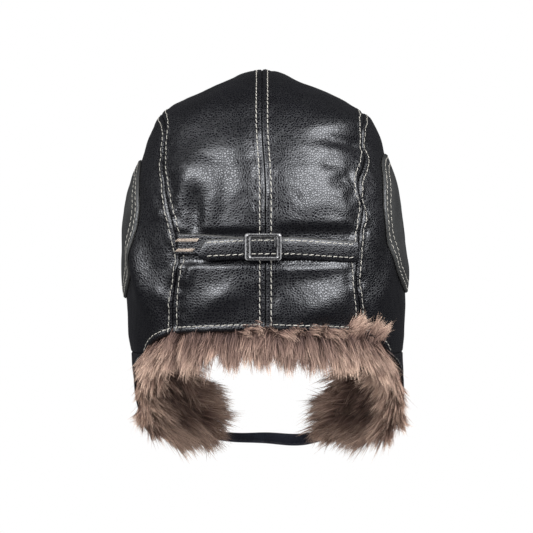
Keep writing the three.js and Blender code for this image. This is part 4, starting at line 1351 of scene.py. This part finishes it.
def flap_fur(side, name):
    node = "flap_fur_" + name
    rows, columns = 40, 60
    top_down = -12 / flap_length
    low_down = 1 + 3 / flap_length
    row_share = np.sin(np.linspace(0, 1, rows) * np.pi / 2)

    def place(across, down):
        return flap_base(side, across, mix(top_down, low_down, down), flap_overhang)

    def depth(across, down):
        edge = np.minimum(np.minimum(across, 1 - across), (1 - down) * 0.8)
        return 9 * (0.3 + 0.7 * smooth(0, 0.13, edge) - 0.3 * smooth(0.16, 0.42, edge))

    across = np.linspace(0, 1, columns)[None, :] * np.ones((rows, 1))
    down = row_share[:, None] * np.ones((1, columns))
    base = place(across, down)
    outer = leather_point(base, -coat_inset)
    inner = leather_point(base, -coat_inset - depth(across, down))
    undercoat("undercoat_flap_" + name, outer, inner, node)

    rng = np.random.RandomState(100 + side)
    inward = np.array([-side, 0.0, 0.0])
    down_way = np.array([0.0, 0.0, -1.0])
    back_way = np.array([0.0, -1.0, 0.0])

    def flap_locks(a, d, direction, bend, low, high, tone, wander=0.3):
        here = place(a, d)
        n = normal_at(here)
        root = leather_point(here, -coat_inset - 0.85 * depth(a, d))
        turn = wander * flow(here, 22, 130 + side) + 0.12 * rng.normal(size=here.shape)
        turn = turn + 0.45 * smooth(0.5, 1, d)[:, None] * inward
        lengths = rng.uniform(low, high, len(a))
        tones = tone + 0.27 * ripple(here, 16, 140 + side) + 0.12 * rng.normal(size=len(a))
        return locks(root, -n, direction + turn, bend, lengths, np.clip(tones, 0, 1))

    def spots(count, a_low, a_high, d_low, d_high):
        return rng.uniform(a_low, a_high, count), rng.uniform(d_low, d_high, count)

    falling = 0.75 * down_way
    rim_way = 0.6 * back_way + falling - (0.16 + 0.1 * side) * inward
    wrap_way = 0.35 * back_way + falling - (0.2 + 0.12 * side) * inward
    rear_way = 0.25 * inward + 0.45 * back_way + falling
    low_way = 0.55 * inward + 0.15 * back_way + falling
    front_way = inward + 0.1 * back_way + 0.35 * down_way
    inside_way = 0.55 * inward + falling
    curl = 0.25 * inward + 0.2 * down_way
    rim = flap_locks(*spots(90, -0.02, 0.03, 0, 0.95), rim_way, 0.6 * curl, 14, 19, 0.9)
    rear = flap_locks(*spots(170, 0.02, 0.18, 0.02, 0.98), rear_way, curl, 17, 22, 0.8)
    wrap = flap_locks(*spots(70, -0.03, 0.0, 0.1, 0.9), wrap_way, 0.3 * curl, 12, 16, 0.85)
    wrap["root"] -= 2.4 * wrap["out"]
    low = flap_locks(*spots(185, 0.1, 1, 0.84, 1), low_way, 0.15 * down_way, 18, 23, 0.9)
    front = flap_locks(*spots(130, 0.82, 1, 0.15, 0.98), front_way, 0.15 * down_way, 21, 27, 0.72)
    # The locks in the flap's hollow get a darker tone, darker again on the right flap: painted shade.
    inside_shade_tone = 0.2 - 0.1 * side
    inside = flap_locks(
        *spots(175, 0.14, 0.85, 0.05, 0.88), inside_way, 0.1 * down_way, 12, 17, inside_shade_tone, 0.2
    )
    grow("fur_flap_" + name, node, joined(rim, wrap, rear, low, front, inside), 26, 5.0, 200 + side)


def hem_path(side, share):
    """The back hem from the ridge to the flap, for shares from 0 to 1."""
    share = np.asarray(share, float)
    x = side * seam_half(side, 0 * share) * np.clip(share / 0.7, 0, 1)
    x = np.where(np.abs(x) < 0.01, 0.01, x)
    first = dome_point(x, edge_angle(x, False))
    below = 1 - np.clip((share - 0.7) / 0.3, 0, 1)
    at = bowed(flap_corner(side, 1), seam_edge(side, 0.0), hem_bow, below)
    second = side_point(side, at[..., 0], at[..., 1])
    return np.where((share < 0.7)[..., None], first, second)


def face_path(side, share):
    share = np.asarray(share, float)
    x = side * seam_half(side, 0 * share + 1) * np.clip(share / 0.36, 0, 1)
    x = np.where(np.abs(x) < 0.01, 0.01, x)
    first = dome_point(x, edge_angle(x, True))
    below = 1 - np.clip((share - 0.36) / 0.64, 0, 1)
    at = bowed(flap_corner(side, 2), seam_edge(side, 1.0), face_bow, below)
    second = side_point(side, at[..., 0], at[..., 1])
    return np.where((share < 0.36)[..., None], first, second)


def both_sides(path, share):
    share = np.asarray(share, float)
    far = np.abs(2 * share - 1)
    return np.where((share < 0.5)[..., None], path(-1, far), path(1, far))


def nape_fur():
    node = "nape_fur"
    columns, rows = 120, 14
    share = np.linspace(0.01, 0.99, columns)[:, None] * np.ones((1, rows))
    past = np.linspace(-20, 8, rows)[None, :] * np.ones((columns, 1))
    edge = both_sides(hem_path, share)
    base = edge.copy()
    base[..., 2] -= past
    base = project(base)
    thick = 8 * (0.4 + 0.6 * np.sin(np.pi * np.linspace(0, 1, rows)))[None, :]
    outer = leather_point(base, -coat_inset)
    inner = leather_point(base, -coat_inset - thick)
    undercoat("undercoat_nape", outer, inner, node)

    rng = np.random.RandomState(300)

    def nape_locks(count, s_low, s_high, below_low, below_high, sink_low, sink_high):
        s = rng.uniform(s_low, s_high, count)
        below = rng.uniform(below_low, below_high, count)
        base = both_sides(hem_path, s)
        base[:, 2] -= below
        base = project(base)
        sink = rng.uniform(sink_low, sink_high, count)
        return s, below, base, normal_at(base), leather_point(base, -fur_inset - sink)

    s, below, base, n, root = nape_locks(580, 0.0, 1.0, -2.5, 9, 0.8, 7)
    low = smooth(-1, 8, below)
    outside = np.sign(s - 0.5) * smooth(0.22, 0.5, np.abs(s - 0.5))
    direction = np.array([0, 0, -0.75]) + n * mix(0.75, 0.4, low)[:, None]
    direction[:, 0] += 0.3 * outside
    direction += 0.28 * flow(base, 17, 320) * np.array([1.0, 0.3, 0.15]) + 0.14 * rng.normal(size=base.shape)
    tone = -0.02 + 0.45 * low + 0.42 * ripple(base, 13, 330)
    tone = np.clip(tone + 0.2 * rng.normal(size=len(s)) + 0.5 * np.abs(outside), 0, 1)
    lengths = rng.uniform(16, 19.5, len(s))
    hanging = locks(root, n, direction, np.array([0, 0, -0.4]), lengths, tone)

    # Locks curl up over the hem, most of all at its right end: from, to, count, lean, short, long.
    tufts = [
        (0.8, 0.86, 34, 0.05, 12, 16),
        (0.885, 0.94, 30, 0.3, 12, 16),
        (0.79, 0.95, 44, 0.2, 8, 12),
    ]
    tall = []
    for s_low, s_high, count, lean_out, short, long in tufts:
        s, below, base, n, root = nape_locks(count, s_low, s_high, -1, 3, -2.6, 0)
        direction = n * 0.4 + np.array([lean_out, 0, 0.8]) + 0.3 * flow(base, 14, 340)
        lengths = rng.uniform(short, long, len(s))
        tall.append(locks(root, n, direction, np.array([0.15, 0, 0]), lengths, 0.7))
    s, below, base, n, root = nape_locks(50, 0.4, 0.8, -1, 2, -2.4, 0)
    direction = n * 0.6 + np.array([0.25, 0, 0.45]) + 0.35 * flow(base, 12, 350)
    small = locks(root, n, direction, np.array([0.25, 0, -0.5]), rng.uniform(7, 11, len(s)), 0.4)
    grow("fur_nape", node, joined(hanging, *tall, small), 30, 4.6, 301)


def face_fur():
    node = "face_fur"
    columns, rows = 120, 8
    share = np.linspace(0.02, 0.98, columns)
    edge = both_sides(face_path, share)
    along = np.gradient(edge, axis=0)
    outward = unit(np.cross(normal_at(edge), along))
    past = np.linspace(-14, 3, rows)
    base = project(edge[:, None] + outward[:, None] * past[None, :, None])
    thick = 6 * (0.4 + 0.6 * np.sin(np.pi * np.linspace(0, 1, rows)))[None, :]
    outer = leather_point(base, -coat_inset)
    inner = leather_point(base, -coat_inset - thick)
    undercoat("undercoat_face", outer, inner, node)

    rng = np.random.RandomState(400)
    count = 240
    at = rng.uniform(0.01, 0.99, count) * (columns - 1)
    low = np.clip(at.astype(int), 0, columns - 2)
    part = (at - low)[:, None]
    here = mix(edge[low], edge[low + 1], part)
    out = unit(mix(outward[low], outward[low + 1], part))
    base = project(here + out * rng.uniform(-2, 3, count)[:, None])
    n = normal_at(base)
    root = leather_point(base, -fur_inset - rng.uniform(0.8, 5, count))
    direction = out + n * rng.uniform(-0.25, 0.2, count)[:, None] + 0.25 * flow(base, 20, 420)
    tone = np.clip(0.45 + 0.2 * ripple(base, 15, 430), 0, 1)
    group = locks(root, n, direction, np.array([0, 0, -0.3]), rng.uniform(9, 14, count), tone)
    grow("fur_face", node, group, 24, 4.4, 401)


for hat_side, side_name in ((-1, "left"), (1, "right")):
    flap_fur(hat_side, side_name)
nape_fur()
face_fur()


# Studio


def studio_floor():
    """A white floor, hidden from reflections, as bright as the white behind it."""
    look = Look("studio_floor")
    look.inputs["Base Color"].default_value = (0, 0, 0, 1)
    look.inputs["Specular IOR Level"].default_value = 0
    look.inputs["Emission Color"].default_value = (1, 1, 1, 1)
    look.inputs["Emission Strength"].default_value = 1
    mesh = bpy.data.meshes.new("floor")
    size, level = 12.0, -0.62
    corners = [(-size, -size, level), (size, -size, level), (size, size, level), (-size, size, level)]
    mesh.from_pydata(corners, [], [[0, 1, 2, 3]])
    mesh.materials.append(look.material)
    floor = bpy.data.objects.new("floor", mesh)
    bpy.context.scene.collection.objects.link(floor)
    floor.visible_glossy = False


studio_floor()


def softbox(name, azimuth, elevation, roll, size, radiance):
    """A large soft light that faces the hat. Azimuth 0 is towards the camera."""
    data = bpy.data.lights.new(name, "AREA")
    data.shape = "RECTANGLE"
    data.size, data.size_y = size
    data.energy = radiance * math.pi * size[0] * size[1]
    lamp = bpy.data.objects.new(name, data)
    bpy.context.scene.collection.objects.link(lamp)
    a, e = math.radians(azimuth), math.radians(elevation)
    out = Vector((math.sin(a) * math.cos(e), -math.cos(a) * math.cos(e), math.sin(e)))
    lamp.location = Vector(hat_middle) + light_distance * out
    lamp.rotation_euler = (out.to_track_quat("Z", "Y") @ Quaternion((0, 0, 1), math.radians(roll))).to_euler()
    return lamp


# The photo's width and the camera's distance, in metres.
photo_width = 0.3838
camera_distance = 1.7
sensor_width = 36
hat_middle = (0, 0, -0.1)
light_distance = 2.0
softbox("key_left", -48, 27, 12, (1.95, 1.1), 12.5)
softbox("key_right", 48, 31, 0, (1.95, 1.25), 12.5)
fill = softbox("fill", 0, -12, 0, (2.4, 0.9), 8)
fill.visible_glossy = False

world = bpy.data.worlds.new("studio")
bpy.context.scene.world = world
world.use_nodes = True
background = world.node_tree.nodes["Background"]
rays = world.node_tree.nodes.new("ShaderNodeLightPath")
backdrop = world.node_tree.nodes.new("ShaderNodeMixRGB")
backdrop.inputs[1].default_value = (0.06, 0.06, 0.065, 1)
backdrop.inputs[2].default_value = (1, 1, 1, 1)
world.node_tree.links.new(rays.outputs["Is Camera Ray"], backdrop.inputs["Fac"])
world.node_tree.links.new(backdrop.outputs[0], background.inputs["Color"])

camera_data = bpy.data.cameras.new("camera")
camera_data.sensor_width = sensor_width
camera_data.lens = sensor_width / photo_width * camera_distance
camera = bpy.data.objects.new("camera", camera_data)
bpy.context.scene.collection.objects.link(camera)
camera.location = (0.0014, -camera_distance, -0.1391)
camera.rotation_euler = (math.pi / 2, 0, 0)
bpy.context.scene.camera = camera
bpy.context.scene.view_settings.view_transform = "Standard"
